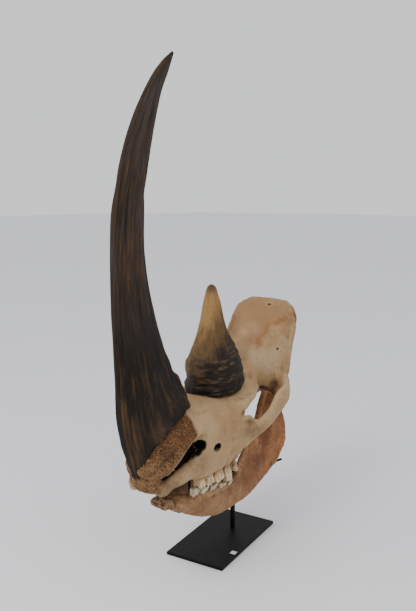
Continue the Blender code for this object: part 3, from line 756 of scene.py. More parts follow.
def seat_ring(bm, seat, seat_height, sides):
    """The horn's foot: an oval, blunt behind and narrow in front, draped over the bone."""
    front, rear, half_width = seat
    middle = Vector((0.0, (front + rear) / 2, 0.0)) * CM
    verts = ring(bm, middle, SIDEWAYS, BACKWARD, half_width, (rear - front) / 2, sides)
    for vert in verts:
        power = FRONT_POWER if vert.co.y < middle.y else REAR_POWER
        blunt = abs(vert.co.x / CM / half_width) ** power * half_width * CM
        vert.co.x = math.copysign(blunt, vert.co.x)
        vert.co.z = seat_height(vert.co.y / CM) * CM
    return verts


print("nose seat from", nose_seat(-47.6), "to", nose_seat(-23.4), "cm")

# %% [markdown]
# ## Loft of a horn
#
# Each ring is squashed to an oval and leans with the horn. A skirt of rings blends from the
# draped foot to the first oval. Each vertex stores its place round and along the horn. Round
# is kept on a circle of one size, so that noise read there has no seam, and its strands draw
# together towards the tip as real fibres do.

# %% Loft of a horn
FIBRE_RADIUS = 6.0


def leaning_rows(path, stations):
    """Adds to each station how far the horn leans there."""
    rows = []
    for index, (y, z, deep, thick) in enumerate(stations, start=1):
        before, after = path[index - 1], path[min(index + 1, len(path) - 1)]
        lean = math.atan2(after[0] - before[0], after[1] - before[1])
        rows.append((y, z, deep / 2, thick / 2, lean))
    return rows


def skirt_rings(bm, foot, first, sides, steps):
    """Rings that blend from the horn's foot to its first oval."""
    skirt = [foot]
    for step in range(1, steps):
        verts = bmesh.ops.create_circle(bm, segments=sides, radius=CM)["verts"]
        for vert, low, high in zip(verts, foot, first):
            vert.co = low.co.lerp(high.co, step / steps)
        skirt.append(verts)
    return skirt


def middle_of(verts):
    return sum((vert.co for vert in verts), Vector()) / len(verts)


def loft_horn(name, seat, seat_height, stations, sides, steps):
    """A station is (y, z, fore-and-aft size, thickness) in centimetres."""
    middle = (seat[0] + seat[1]) / 2
    path = [(middle, seat_height(middle))] + [station[:2] for station in stations]
    bm = bmesh.new()
    fibre = bm.verts.layers.float_vector.new("fibre")
    rings = []
    for y, z, deep, thick, lean in through(leaning_rows(path, stations), steps):
        back = Vector((0.0, math.cos(lean), -math.sin(lean)))
        rings.append(ring(bm, Vector((0.0, y, z)) * CM, SIDEWAYS, back, thick, deep, sides))
    foot = seat_ring(bm, seat, seat_height, sides)
    rings = skirt_rings(bm, foot, rings[0], sides, steps) + rings
    length = 0.0
    for index, verts in enumerate(rings):
        if index:
            length += (middle_of(verts) - middle_of(rings[index - 1])).length / CM
        for step, vert in enumerate(verts):
            turn = math.tau * step / sides
            vert[fibre] = (-math.sin(turn) * FIBRE_RADIUS, math.cos(turn) * FIBRE_RADIUS, length)
    bridge_rings(bm, rings)
    horn = as_object(name, bm)
    horn.data.shade_smooth()
    print(name, len(horn.data.polygons), "faces,", round(length, 1), "cm along its middle")
    return horn


def fibres_of(horn):
    """The stored places round and along the horn, in centimetres."""
    flat = np.empty(len(horn.data.vertices) * 3)
    horn.data.attributes["fibre"].data.foreach_get("vector", flat)
    return flat.reshape(-1, 3)

# %% [markdown]
# ## Front horn
#
# It is a long flattened blade that sweeps forward, up and back. Noise that is drawn out along
# the horn makes its grooves, which thin out towards the tip. The foot is frayed, and there is
# a faint waist where the blade narrows.

# %% Front horn
FRONT_STATIONS = [
    (-39.5, 56.0, 28.2, 11.2), (-41.8, 61.6, 24.9, 10.2), (-43.0, 66.6, 22.8, 9.0),
    (-44.5, 72.0, 20.2, 8.0), (-47.6, 86.0, 15.8, 6.4), (-49.0, 100.0, 13.0, 5.3),
    (-48.3, 112.0, 11.7, 4.9), (-45.5, 123.0, 10.3, 4.4), (-41.1, 133.0, 8.5, 3.8),
    (-35.7, 142.0, 5.5, 2.5), (-31.0, 147.2, 3.5, 1.6), (-27.2, 150.8, 0.8, 0.6),
]
FRONT_SEAT = (-47.6, -23.4, 5.3)
front_horn = loft_horn("fine_front_horn", FRONT_SEAT, nose_seat, FRONT_STATIONS, sides=176, steps=11)
places = fibres_of(front_horn)
along = places[:, 2]
thin = fade(along, 112.0, 80.0) * 0.8 + 0.2
grooves = lumps(places, 0.75, 3, (1.0, 1.0, 0.045)) * 0.17
grooves += lumps(places, 2.4, 2, (1.0, 1.0, 0.1)) * 0.22
frayed = fade(along, 26.0, 2.0) * lumps(places, 1.3, 3, (1.0, 1.0, 0.45)) * 0.22
waist = np.exp(-((along - 70.0) / 3.0) ** 2) * 0.25
keep_amount(front_horn.data, "groove", grooves * 4.0)
raise_skin(front_horn.data, thin * grooves + frayed - waist)
print("front horn grooves are up to", round(float(np.abs(grooves).max()), 2), "cm")

# %% [markdown]
# ## Rear horn
#
# It is a short cone on a thick wrinkled skirt. Its wrinkles run round it, so their noise is
# drawn out the other way, and slow lumps make the skirt bulge unevenly.

# %% Rear horn
REAR_STATIONS = [
    (-4.7, 53.8, 20.0, 16.8), (-4.7, 55.0, 20.0, 16.8), (-5.0, 56.4, 19.9, 16.6),
    (-5.0, 58.0, 19.5, 16.3), (-5.6, 60.2, 19.5, 16.0), (-5.9, 62.4, 18.8, 15.5),
    (-6.0, 66.0, 15.4, 12.8), (-6.5, 70.0, 11.4, 9.5), (-6.7, 75.0, 8.1, 6.8),
    (-6.8, 80.0, 5.8, 4.9), (-6.9, 83.4, 3.9, 3.3), (-6.9, 85.0, 2.4, 2.1), (-6.9, 85.7, 0.6, 0.5),
]
REAR_SEAT = (-14.0, 4.8, 7.9)
rear_horn = loft_horn("fine_rear_horn", REAR_SEAT, brow_seat, REAR_STATIONS, sides=144, steps=9)
places = fibres_of(rear_horn)
along = places[:, 2]
low = fade(along + lumps(places, 5.0, 2) * 3.0, 17.0, 9.0)
wrinkles = lumps(places, 1.5, 4, (0.32, 0.32, 1.1)) * 0.45 * low
grooves = lumps(places, 0.9, 3, (1.0, 1.0, 0.12)) * 0.2 * (1.0 - 0.5 * low)
lobes = lumps(places, 4.0, 2) * 0.5 * fade(along, 20.0, 8.0)
keep_amount(rear_horn.data, "groove", (wrinkles + grooves) * 3.0)
keep_amount(rear_horn.data, "low", low)
raise_skin(rear_horn.data, wrinkles + grooves + lobes)
print("rear horn wrinkles are up to", round(float(np.abs(wrinkles).max()), 2), "cm")

# %% [markdown]
# ## Cheek teeth
#
# A rhinoceros tooth is a tall block of folded enamel. Its outer face has upright ribs, its
# sides are drawn in at the neck, and its top is worn to sharp uneven ridges. Each tooth is
# lofted from a few rings, cut finer, and then ribbed and worn by the same tools as the bone.
# Old teeth are worn and broken unevenly, so each has its own tilt and its own height.

# %% The rows, and one plain tooth
TOOTH_LENGTHS = (3.0, 3.8, 4.2, 3.9, 2.0)
TOOTH_GAP = 0.18
TOOTH_SIDES = 20
TOOTH_POWER = 0.6
TOOTH_RINGS = ((0.0, 0.7), (0.35, 0.8), (0.7, 0.97), (0.93, 0.95), (1.0, 0.82))
ROWS = {
    "upper": {"front_y": -26.8, "x": (6.2, 9.2), "wide": 3.6, "lean": 0.3,
              "root_z": (34.6, 33.4), "crown_z": (29.9, 27.4),
              "worn": (0.4, 0.7, 0.9, 0.2, 2.4), "slope": (0.0, 0.1, 0.10, 0.05, -0.1)},
    "lower": {"front_y": -28.5, "x": (5.2, 8.3), "wide": 2.5, "lean": 0.8,
              "root_z": (27.5, 25.2), "crown_z": (29.9, 27.4),
              "worn": (-0.6, -0.2, -0.2, 0.2, 0.2), "slope": (0.05, 0.1, 0.05, 0.1, 0.0)},
}


def between(pair, share):
    return pair[0] * (1.0 - share) + pair[1] * share


def squared(offset, half):
    """Moves an offset on an oval outwards, so that the oval turns into a rounded square."""
    return math.copysign(abs(offset / half) ** TOOTH_POWER * half, offset)


def plain_tooth(name, x, y, root_z, crown_z, long, wide, lean):
    """Lofts a rounded block from the root to the crown."""
    bm = bmesh.new()
    rings = []
    for share, fill in TOOTH_RINGS:
        place = Vector((x + lean * share, y, between((root_z, crown_z), share))) * CM
        half_wide, half_long = wide / 2 * fill, long / 2 * fill
        verts = ring(bm, place, SIDEWAYS, BACKWARD, half_wide, half_long, TOOTH_SIDES)
        for vert in verts:
            vert.co.x = place.x + squared((vert.co.x - place.x) / CM, half_wide) * CM
            vert.co.y = place.y + squared((vert.co.y - place.y) / CM, half_long) * CM
        rings.append(verts)
    bridge_rings(bm, rings)
    tooth = as_object(name, bm)
    fine = tooth.modifiers.new("Fine", "SUBSURF")
    fine.levels = 3
    fine.render_levels = 3
    return settle(tooth)


print("teeth in a row:", len(TOOTH_LENGTHS))

# %% [markdown]
# ## Folds and wear
#
# Grit and chewing cut the crown down unevenly. Its height changes by noise, by a slope, by a
# basin in the middle and by a wear of its own, while the root stays where it is. Shade falls
# between two teeth, so the ends of each tooth are marked for painted shade.


# %% Folds, ribs and wear
def wear_tooth(tooth, x, y, root_z, crown_z, long, outward, worn, slope, gap_shade):
    """Ribs down the outer face, drawn-in folds, and a worn, uneven crown."""
    mesh = tooth.data
    points = points_of(mesh)
    share = (points[:, 2] - root_z) / (crown_z - root_z)
    wall = fade(share, 1.02, 0.9)
    outer = fade((points[:, 0] - x) * outward, -0.2, 0.8)
    ribs = np.cos((points[:, 1] - y) / long * math.tau * 2.2 + y) * 0.17 * outer * wall
    folds = lumps(points + x, 0.9, 3, (1.0, 1.0, 0.22)) * 0.2 * wall
    raise_skin(mesh, ribs + folds)
    points = points_of(mesh)
    away = 1.0 if crown_z > root_z else -1.0
    jagged = lumps(points + y, 1.0, 3, (1.0, 1.0, 0.0)) * 0.42
    basin = near(points, (x, y, crown_z), (1.1, long / 3, 3.0)) * 0.4
    drop = jagged - basin - worn - (points[:, 1] - y) * slope
    points[:, 2] += away * drop * fade(share, 0.4, 1.0)
    place_points(mesh, points)
    mesh.shade_smooth()
    keep_amount(mesh, "share", np.clip(share, 0.0, 1.0))
    # the ends of each tooth are marked for painted shade between neighbours
    keep_amount(mesh, "gap", fade(np.abs(points[:, 1] - y), long * 0.42, long * 0.54) * gap_shade)
    keep_amount(mesh, "lower", np.full(len(points), float(away > 0)))
    keep_hollows(mesh, "hollow", 6, 18.0)


print("the wear tool is ready")

# %% [markdown]
# ## Rows of teeth
#
# The left and right rows spread towards the back. A loop walks down each row, tooth by tooth,
# and takes place, height and wear from the row's own numbers, so that no tooth is placed by
# hand.

# %% Set the four rows of teeth
teeth = []
for row_name, row in ROWS.items():
    total = sum(TOOTH_LENGTHS) + TOOTH_GAP * (len(TOOTH_LENGTHS) - 1)
    for side_name, sign in (("left", 1.0), ("right", -1.0)):
        front = row["front_y"]
        for index, long in enumerate(TOOTH_LENGTHS):
            y = front + long / 2
            share = (y - row["front_y"]) / total
            x = sign * between(row["x"], share)
            root_z, crown_z = between(row["root_z"], share), between(row["crown_z"], share)
            node = f"{row_name}_tooth_{side_name}_{index + 1}"
            lean = sign * row["lean"]
            tooth = plain_tooth("fine_" + node, x, y, root_z, crown_z, long, row["wide"], lean)
            worn, slope = row["worn"][index], row["slope"][index]
            gap_shade = 1.0 if index else 0.3  # the first tooth has no neighbour in front
            wear_tooth(tooth, x, y, root_z, crown_z, long, sign, worn, slope, gap_shade)
            teeth.append((tooth, node))
            front += long + TOOTH_GAP
print("teeth:", len(teeth), "with", len(teeth[0][0].data.polygons), "faces each")

# %% [markdown]
# ## Stand
#
# The armature is plain black steel: a thin plate, a square post, a flat bar with a turned-up
# lip under the chin, a round rod bent under both jaw corners, and a rod up to the palate. A
# metal edge is never knife sharp, so each piece gets a small rounded bevel that catches a
# line of light.


# %% Bars with soft edges
def bar(name, low, high, edge):
    """A square bar between two corners, in centimetres, with its edges rounded."""
    bm = bmesh.new()
    bmesh.ops.create_cube(bm, size=1.0)
    low, high = Vector(low), Vector(high)
    bmesh.ops.scale(bm, vec=(high - low) * CM, verts=bm.verts[:])
    bmesh.ops.translate(bm, vec=(high + low) / 2 * CM, verts=bm.verts[:])
    bmesh.ops.bevel(
        bm, geom=bm.edges[:], offset=edge * CM, affect="EDGES", segments=3, profile=0.5, material=-1
    )
    return as_object(name, bm)


plate = bar("fine_base_plate", (-10.0, -17.65, 0.0), (10.0, 17.65, 1.0), 0.1)
post = bar("fine_post", (-0.6, 6.6, 1.02), (0.6, 7.8, 45.0), 0.08)
print("plate and post:", len(plate.data.polygons), "and", len(post.data.polygons), "faces")

# %% [markdown]
# ## Bent bar and rods
#
# The bar under the chin is a flat strip with its end turned up, which is one outline pushed
# sideways. The rods reuse the limb tool with a constant radius. A small blank card lies on
# the front corner of the plate.

# %% The bent bar, the round rods and the blank card
ROD_RADIUS = 0.38
bm = bmesh.new()
slab(bm, [
    (-1.2, 6.55, 21.1), (-1.2, -27.4, 21.1), (-1.2, -27.4, 23.4),
    (-1.2, -26.8, 23.4), (-1.2, -26.8, 21.7), (-1.2, 6.55, 21.7),
], (2.4, 0, 0))
bmesh.ops.bevel(
    bm, geom=bm.edges[:], offset=0.07 * CM, affect="EDGES", segments=2, profile=0.5, material=-1
)
jaw_bar = as_object("fine_jaw_bar", bm)


def rod(name, route, across=None):
    """A round rod along a route; an upright one is told which way is across."""
    bm = bmesh.new()
    limb(bm, [(*place, ROD_RADIUS, ROD_RADIUS) for place in route], across, 20)
    return as_object(name, bm)


jaw_arms = rod("fine_jaw_arms", [
    (-12.7, 17.4, 24.1), (-11.6, 16.2, 23.7), (-6.4, 12.4, 23.2), (-1.2, 8.8, 22.8),
    (0.0, 8.45, 22.8), (1.2, 8.8, 22.8), (6.4, 12.4, 23.2), (11.6, 16.2, 23.7), (12.7, 17.4, 24.1),
])
palate_rod = rod("fine_palate_rod", [(0.0, -20.0, 21.75), (0.0, -20.0, 38.2)], SIDEWAYS)
for thing in (jaw_arms, palate_rod):
    thing.data.shade_smooth()
card = bar("blank_card", (7.6, -8.6, 1.0), (9.4, -6.8, 1.05), 0.01)
print("rods and card are ready")

# %% [markdown]
# ## Mixing finishes
#
# A finish is a sum of simple things: a base colour, clouds of a second colour, dirt in the
# hollows, wear on the edges. The small class below lets a socket be added and multiplied as
# a number, so the recipe reads as a formula. Every other node comes from one method.


# %% A socket that does sums
class Amount:
    """A socket that can be added, subtracted and multiplied as a number can."""

    def __init__(self, finish, socket):
        self.finish = finish
        self.socket = socket

    def sum(self, operation, first, second):
        return self.finish.node("ShaderNodeMath", {"operation": operation}, {0: first, 1: second})

    def __add__(self, other):
        return self.sum("ADD", self, other)

    def __sub__(self, other):
        return self.sum("SUBTRACT", self, other)

    def __mul__(self, other):
        return self.sum("MULTIPLY", self, other)

    def __radd__(self, other):
        return self.sum("ADD", other, self)

    def __rsub__(self, other):
        return self.sum("SUBTRACT", other, self)

    def __rmul__(self, other):
        return self.sum("MULTIPLY", other, self)


print("a socket can now be added, subtracted and multiplied")

# %% [markdown]
# ## One method for every node
#
# Shader nodes made one by one are long to read. A finish keeps its material, its colour so
# far and one method that adds any node. The others only name what a recipe asks for, such as
# clouds, a fade, or a patch near a place.


# %% A finish that makes nodes
class Finish:
    """One material. Its methods add the nodes that the recipes name, and it keeps its colour so far."""

    def __init__(self, name, roughness, specular=0.5):
        self.material = bpy.data.materials.new(name)
        self.material.use_nodes = True
        self.tree = self.material.node_tree
        self.shader = self.tree.nodes["Principled BSDF"]
        self.shader.inputs["Roughness"].default_value = roughness
        self.shader.inputs["Specular IOR Level"].default_value = specular
        self.place = self.node("ShaderNodeTexCoord", output="Object")
        self.color = None

    def node(self, kind, settings=None, inputs=None, output=0):
        """Adds a node: first its settings, then the values or links of its sockets."""
        made = self.tree.nodes.new(kind)
        for key, value in (settings or {}).items():
            setattr(made, key, value)
        for key, value in (inputs or {}).items():
            self.feed(made.inputs[key], value)
        return Amount(self, made.outputs[output])

    def feed(self, socket, value):
        if isinstance(value, Amount):
            self.tree.links.new(value.socket, socket)
        else:
            socket.default_value = value

    def stored(self, name):
        """An amount that the mesh carries."""
        return self.node("ShaderNodeAttribute", {"attribute_name": name}, output="Fac")

    def part_of(self, vector, axis):
        """One of the three numbers of a vector."""
        return self.node("ShaderNodeSeparateXYZ", None, {0: vector}, output=axis)

    def clouds(self, scale, detail=4.0, rough=0.55, at=None, stretch=None):
        """Soft noise; a stretch below 1 draws it out along that axis."""
        at = at or self.place
        if stretch:
            at = self.node("ShaderNodeVectorMath", {"operation": "MULTIPLY"}, {0: at, 1: stretch})
        inputs = {"Vector": at, "Scale": scale, "Detail": detail, "Roughness": rough}
        return self.node("ShaderNodeTexNoise", None, inputs)

    def seeds(self, scale):
        """Distance to the nearest of many scattered seeds."""
        return self.node("ShaderNodeTexVoronoi", None, {"Vector": self.place, "Scale": scale})

    def fade(self, value, start, end):
        inputs = {"Value": value, "From Min": start, "From Max": end}
        return self.node("ShaderNodeMapRange", {"interpolation_type": "SMOOTHSTEP"}, inputs)

    def near(self, place, reach):
        """1 at a place and 0 from `reach` metres on."""
        gap = self.node("ShaderNodeVectorMath", {"operation": "SUBTRACT"}, {0: self.place, 1: place})
        scaled = self.node("ShaderNodeVectorMath", {"operation": "DIVIDE"}, {0: gap, 1: reach})
        length = self.node("ShaderNodeVectorMath", {"operation": "LENGTH"}, {0: scaled}, output=1)
        return self.fade(length, 1.0, 0.2)

    def mix(self, share, first, second):
        settings = {"data_type": "RGBA", "clamp_factor": True}
        return self.node("ShaderNodeMix", settings, {0: share, 6: first, 7: second}, output=2)

    def paint(self, share, color):
        """Lays a colour over the colour so far."""
        self.color = self.mix(share, self.color, color)

    def show(self, roughness, height, depth):
        """Feeds the colour so far, the roughness and a relief to the shader."""
        self.feed(self.shader.inputs["Base Color"], self.color)
        self.feed(self.shader.inputs["Roughness"], roughness)
        inputs = {"Strength": 1.0, "Distance": depth, "Height": height}
        self.feed(self.shader.inputs["Normal"], self.node("ShaderNodeBump", None, inputs))
        return self.material


def chip(red, green, blue):
    """A colour read off a 0 to 255 paint chip, as the linear light that shaders use."""
    def light(level):
        level = level / 255.0
        return level / 12.92 if level <= 0.04045 else ((level + 0.055) / 1.055) ** 2.4

    return (light(red), light(green), light(blue), 1.0)


print("finish tools are ready")

# %% [markdown]
# ## Bone finish
#
# The cranium is dry cream bone. Soil has left tan clouds and orange stains, the roof is
# pinker than the pale walls, the rough nose is brown with nearly black pits, and dust and
# painted shade sit in every hollow. Painted shade also darkens the foot of the temple wall,
# and the edges carry painted highlights. One noise over everything would look like painted
# stone, so each patch has a place and a reach in metres. All but the rims of the crest have a
# strength too, and the noise breaks up the edges of the stains, the pale patches and the rims.

# %% Where the bone is shaded, stained and pale
# Dark brown patches: the two low on the temple wall are painted shade where the fossa lies in shadow;
# the others darken the bone of the snout, the face, the cheek arch, the bone behind the teeth and the
# far side of the roof.
SHADE_AND_DARK_PATCHES = [
    ((0.060, -0.415, 0.350), (0.060, 0.090, 0.050), 0.85),
    ((0.080, -0.290, 0.390), (0.070, 0.080, 0.060), 0.45),
    ((0.108, 0.160, 0.492), (0.030, 0.050, 0.032), 0.9),
    ((0.135, -0.050, 0.420), (0.050, 0.070, 0.035), 0.6),
    ((0.100, 0.180, 0.470), (0.050, 0.080, 0.045), 0.9),
    ((0.070, -0.380, 0.410), (0.040, 0.070, 0.040), 0.5),
    ((0.095, -0.080, 0.330), (0.040, 0.050, 0.030), 0.8),
    ((-0.080, 0.180, 0.650), (0.070, 0.140, 0.080), 0.55),
]
STAINS = [
    ((0.058, 0.120, 0.632), (0.022, 0.040, 0.040), 0.5),
    ((0.075, 0.215, 0.690), (0.030, 0.030, 0.020), 0.4),
    ((0.020, 0.262, 0.728), (0.030, 0.025, 0.024), 0.45),
    ((0.098, 0.225, 0.668), (0.018, 0.030, 0.026), 0.45),
    ((0.056, 0.060, 0.560), (0.020, 0.030, 0.050), 0.4),
    ((0.116, -0.030, 0.440), (0.030, 0.030, 0.020), 0.3),
]
PALE_PATCHES = [
    ((0.012, 0.150, 0.668), (0.050, 0.070, 0.040), 0.35),
    ((0.092, 0.160, 0.575), (0.045, 0.080, 0.075), 0.7),
    ((0.100, 0.215, 0.610), (0.030, 0.050, 0.060), 0.4),
    ((0.060, 0.110, 0.600), (0.035, 0.050, 0.060), 0.8),
]
CREST_RIMS = [
    ((0.108, 0.312, 0.706), (0.028, 0.034, 0.050)),
    ((0.118, 0.250, 0.500), (0.020, 0.030, 0.050)),
]
OLIVE_KNOB = ((0.122, -0.054, 0.452), (0.030, 0.040, 0.020))
print("patches:", len(SHADE_AND_DARK_PATCHES) + len(STAINS) + len(PALE_PATCHES) + len(CREST_RIMS) + 1)

# %% [markdown]
# ## Bone of the cranium
#
# The recipe goes from wide to narrow, as a painter would: the ground colour, the clouds, the
# placed patches with their painted shade, the rough nose, the dirt and painted shade in the
# hollows, the rubbed edges with their painted highlights, and the open pores. The stored
# amounts of the mesh tell it where the nose, the roof and the holes are.


# %% Cranium: ground, clouds and placed patches
def paint_clouds_and_patches(bone, wide, middle, grain):
    bone.color = bone.mix(bone.fade(wide, 0.35, 0.68), chip(168, 140, 104), chip(154, 120, 82))
    bone.paint(bone.fade(middle, 0.5, 0.78) * 0.6, chip(134, 98, 62))
    bone.paint(bone.fade(grain, 0.5, 0.8) * 0.35, chip(188, 162, 126))
    tan = bone.stored("roof") * bone.fade(wide + middle * 0.5, 0.3, 0.8)
    bone.paint(tan * 0.85, chip(140, 104, 70))
    for place, reach, strength in STAINS:
        stain = bone.near(place, reach) * bone.fade(middle, 0.3, 0.6)
        bone.paint(stain * strength, chip(164, 98, 44))
    for place, reach, strength in PALE_PATCHES:
        pale = bone.near(place, reach) * (bone.fade(middle, 0.7, 0.35) * 0.6 + 0.4)
        bone.paint(pale * strength, chip(184, 158, 126))
    orange = bone.fade(bone.clouds(17.0, 4.0, 0.6), 0.6, 0.78)
    bone.paint(orange * 0.3, chip(150, 98, 54))
    bone.paint(bone.stored("crease") * bone.fade(middle, 0.25, 0.55) * 0.75, chip(128, 80, 40))
    # painted shade at the foot of the temple wall, and darker bone elsewhere
    for place, reach, strength in SHADE_AND_DARK_PATCHES:
        bone.paint(bone.near(place, reach) * strength, chip(92, 64, 40))
    bone.paint(bone.near(*OLIVE_KNOB) * 0.55, chip(104, 88, 60))


print("the ground recipe is ready")

# %% [markdown]
# ## Rough nose, dirt and painted shade, and edges
#
# The nose is a darker brown under the horn than at the tip, so two pairs of browns are mixed
# by height. Hollows are painted darker, as dirt and as painted shade, and edges are painted
# paler, as rubbed wear and as a painted highlight, golden on the rough nose. Both come from
# one stored amount, whose sign tells a hollow from an edge.


# %% Cranium: rough nose, dirt and painted shade, highlit edges and pores
def paint_nose_dirt_and_shade(bone, middle, pores):
    rough_nose = bone.stored("rugose")
    upper_nose = bone.mix(bone.fade(middle, 0.35, 0.7), chip(104, 68, 38), chip(70, 42, 22))
    lower_nose = bone.mix(bone.fade(middle, 0.35, 0.7), chip(130, 98, 62), chip(90, 60, 34))
    higher = bone.fade(bone.part_of(bone.place, "Z"), 0.41, 0.47)
    bone.paint(rough_nose * 1.3, bone.mix(higher, lower_nose, upper_nose))
    bone.paint(bone.stored("pitted") * 0.8, chip(30, 18, 11))
    hollow = bone.stored("hollow")
    # painted shade, with dirt, in the hollows
    bone.paint(bone.fade(hollow, 0.1, 0.9) * (rough_nose * 0.35 + 0.35), chip(70, 46, 28))
    # edges painted paler: rubbed wear and a painted highlight; golden painted highlights on the rough
    # nose
    worn = bone.fade(hollow, -0.25, -1.0)
    bone.paint(worn * (1.0 - rough_nose) * 0.2, chip(190, 164, 128))
    bone.paint(worn * rough_nose * 0.6, chip(142, 106, 66))
    # painted shade in deep, wide recesses
    bone.paint(bone.fade(bone.stored("sunken"), 0.2, 1.0) * 0.6, chip(72, 50, 34))
    bone.paint(bone.stored("scratched") * 0.5, chip(96, 64, 40))
    rim = bone.near(*CREST_RIMS[0]) + bone.near(*CREST_RIMS[1])
    bone.paint(rim * bone.fade(middle, 0.3, 0.55) * 0.9, chip(66, 40, 32))
    bone.paint(pores * 0.55, chip(66, 46, 30))
    # painted shadow: the holes and the nostril's passage nearly black
    bone.paint(bone.stored("dark"), chip(16, 11, 8))


def cranium_finish():
    bone = Finish("cranium_bone", roughness=0.75, specular=0.25)
    wide = bone.clouds(7.0, 5.0, 0.6)
    middle = bone.clouds(26.0, 6.0, 0.65)
    fine = bone.clouds(140.0, 5.0, 0.7)
    grain = bone.clouds(60.0, 4.0, 0.6, stretch=(1.0, 0.35, 1.6))
    pores = bone.fade(bone.seeds(330.0), 0.22, 0.10) * bone.fade(middle, 0.45, 0.6)
    paint_clouds_and_patches(bone, wide, middle, grain)
    paint_nose_dirt_and_shade(bone, middle, pores)
    height = fine * 0.7 + middle * 1.2 - pores * 0.5 + grain * 0.4
    return bone.show(0.62 + middle * 0.25, height, depth=0.0012)


cranium_bone = cranium_finish()
print("cranium finish:", len(cranium_bone.node_tree.nodes), "nodes")

# %% [markdown]
# ## Bone of the mandible
#
# The lower jaw took more colour from the soil: it is orange-brown, redder towards the back,
# and darkest at the chin. Inside the far half it is painted with shade. Its hollows get
# painted shade and dirt, and its edges a paler paint for wear and painted highlight. The same
# tools make it, with one stored amount that grows from the front of the jaw to its back.


# %% Bone of the mandible
def mandible_finish():
    bone = Finish("mandible_bone", roughness=0.7, specular=0.25)
    wide = bone.clouds(9.0, 5.0, 0.6)
    middle = bone.clouds(34.0, 6.0, 0.65)
    fine = bone.clouds(150.0, 5.0, 0.7)
    front_color = bone.mix(bone.fade(wide, 0.35, 0.65), chip(140, 106, 72), chip(120, 84, 54))
    rear_color = bone.mix(bone.fade(wide, 0.35, 0.65), chip(142, 92, 56), chip(104, 60, 33))
    bone.color = bone.mix(bone.stored("rear"), front_color, rear_color)
    bone.paint(bone.fade(middle, 0.5, 0.75) * 0.6, chip(88, 54, 32))
    bone.paint(bone.fade(middle, 0.48, 0.3) * 0.4, chip(172, 136, 98))
    chin = bone.near((0.0, -0.36, 0.28), (0.09, 0.07, 0.05))
    bone.paint(chin * 0.8, chip(76, 54, 35))
    bone.paint(bone.stored("pitted") * 0.5, chip(58, 40, 28))
    hollow = bone.stored("hollow")
    # painted shade and dirt in the hollows
    bone.paint(bone.fade(hollow, 0.1, 0.9) * 0.6, chip(66, 40, 24))
    # edges painted paler: wear and a painted highlight
    bone.paint(bone.fade(hollow, -0.15, -0.9) * 0.35, chip(180, 142, 102))
    # painted shade in deep, wide recesses
    bone.paint(bone.fade(bone.stored("sunken"), 0.2, 1.0) * 0.5, chip(66, 40, 26))
    # painted shade inside the far half of the jaw
    far_half_shade = bone.near((-0.045, -0.270, 0.275), (0.035, 0.060, 0.035))
    bone.paint(far_half_shade * 0.8, chip(58, 46, 38))
    return bone.show(0.6 + middle * 0.25, fine * 0.7 + middle * 1.3, depth=0.0012)


mandible_bone = mandible_finish()
print("mandible finish:", len(mandible_bone.node_tree.nodes), "nodes")

# %% [markdown]
# ## Keratin of the front horn
#
# The front horn is nearly black, with brown fibres that come and go along it and a greyer
# upper half. An image would show its seams, so four noises are read on the fibre coordinates,
# each stretched along the horn: patches, broad strands, streaks and single hairs.


# %% Keratin of the front horn
def front_horn_finish():
    horn = Finish("front_horn_keratin", roughness=0.6, specular=0.15)
    fibre = horn.node("ShaderNodeAttribute", {"attribute_name": "fibre"}, output="Vector")
    patch = horn.clouds(0.16, 4.0, 0.6, fibre, (1.0, 1.0, 0.3))
    broad = horn.clouds(0.45, 4.0, 0.6, fibre, (1.0, 1.0, 0.14))
    streak = horn.clouds(1.3, 5.0, 0.65, fibre, (1.0, 1.0, 0.06))
    hair = horn.clouds(5.0, 4.0, 0.7, fibre, (1.0, 1.0, 0.04))
    upper = horn.fade(horn.part_of(fibre, "Z"), 22.0, 60.0)
    brown = horn.fade(patch, 0.42, 0.62)
    horn.color = horn.mix(upper, chip(22, 16, 11), chip(48, 38, 31))
    horn.paint(horn.fade(broad, 0.42, 0.68) * brown * 0.8, chip(74, 54, 34))
    horn.paint(horn.fade(streak, 0.5, 0.7) * (0.35 + brown * 0.6), chip(88, 62, 36))
    horn.paint(horn.fade(hair, 0.55, 0.75) * (0.2 + brown * 0.3), chip(112, 86, 56))
    horn.paint(horn.fade(hair, 0.45, 0.3) * 0.55, chip(15, 12, 10))
    horn.paint(upper * horn.fade(patch, 0.52, 0.38) * 0.5, chip(72, 62, 60))
    horn.paint(horn.fade(horn.stored("groove"), -0.1, -0.7) * 0.6, chip(14, 11, 9))
    return horn.show(0.5 + hair * 0.3, streak * 1.4 + hair * 0.8, depth=0.0015)


front_keratin = front_horn_finish()
print("front horn finish:", len(front_keratin.node_tree.nodes), "nodes")

# %% [markdown]
# ## Keratin of the rear horn
#
# The rear horn fades from a black wrinkled skirt to olive gold, with a dark tip, and the
# black climbs higher on its left and back. So the height that decides the colour is bent by
# noise and by the place round the horn, and bands of noise run round the skirt.


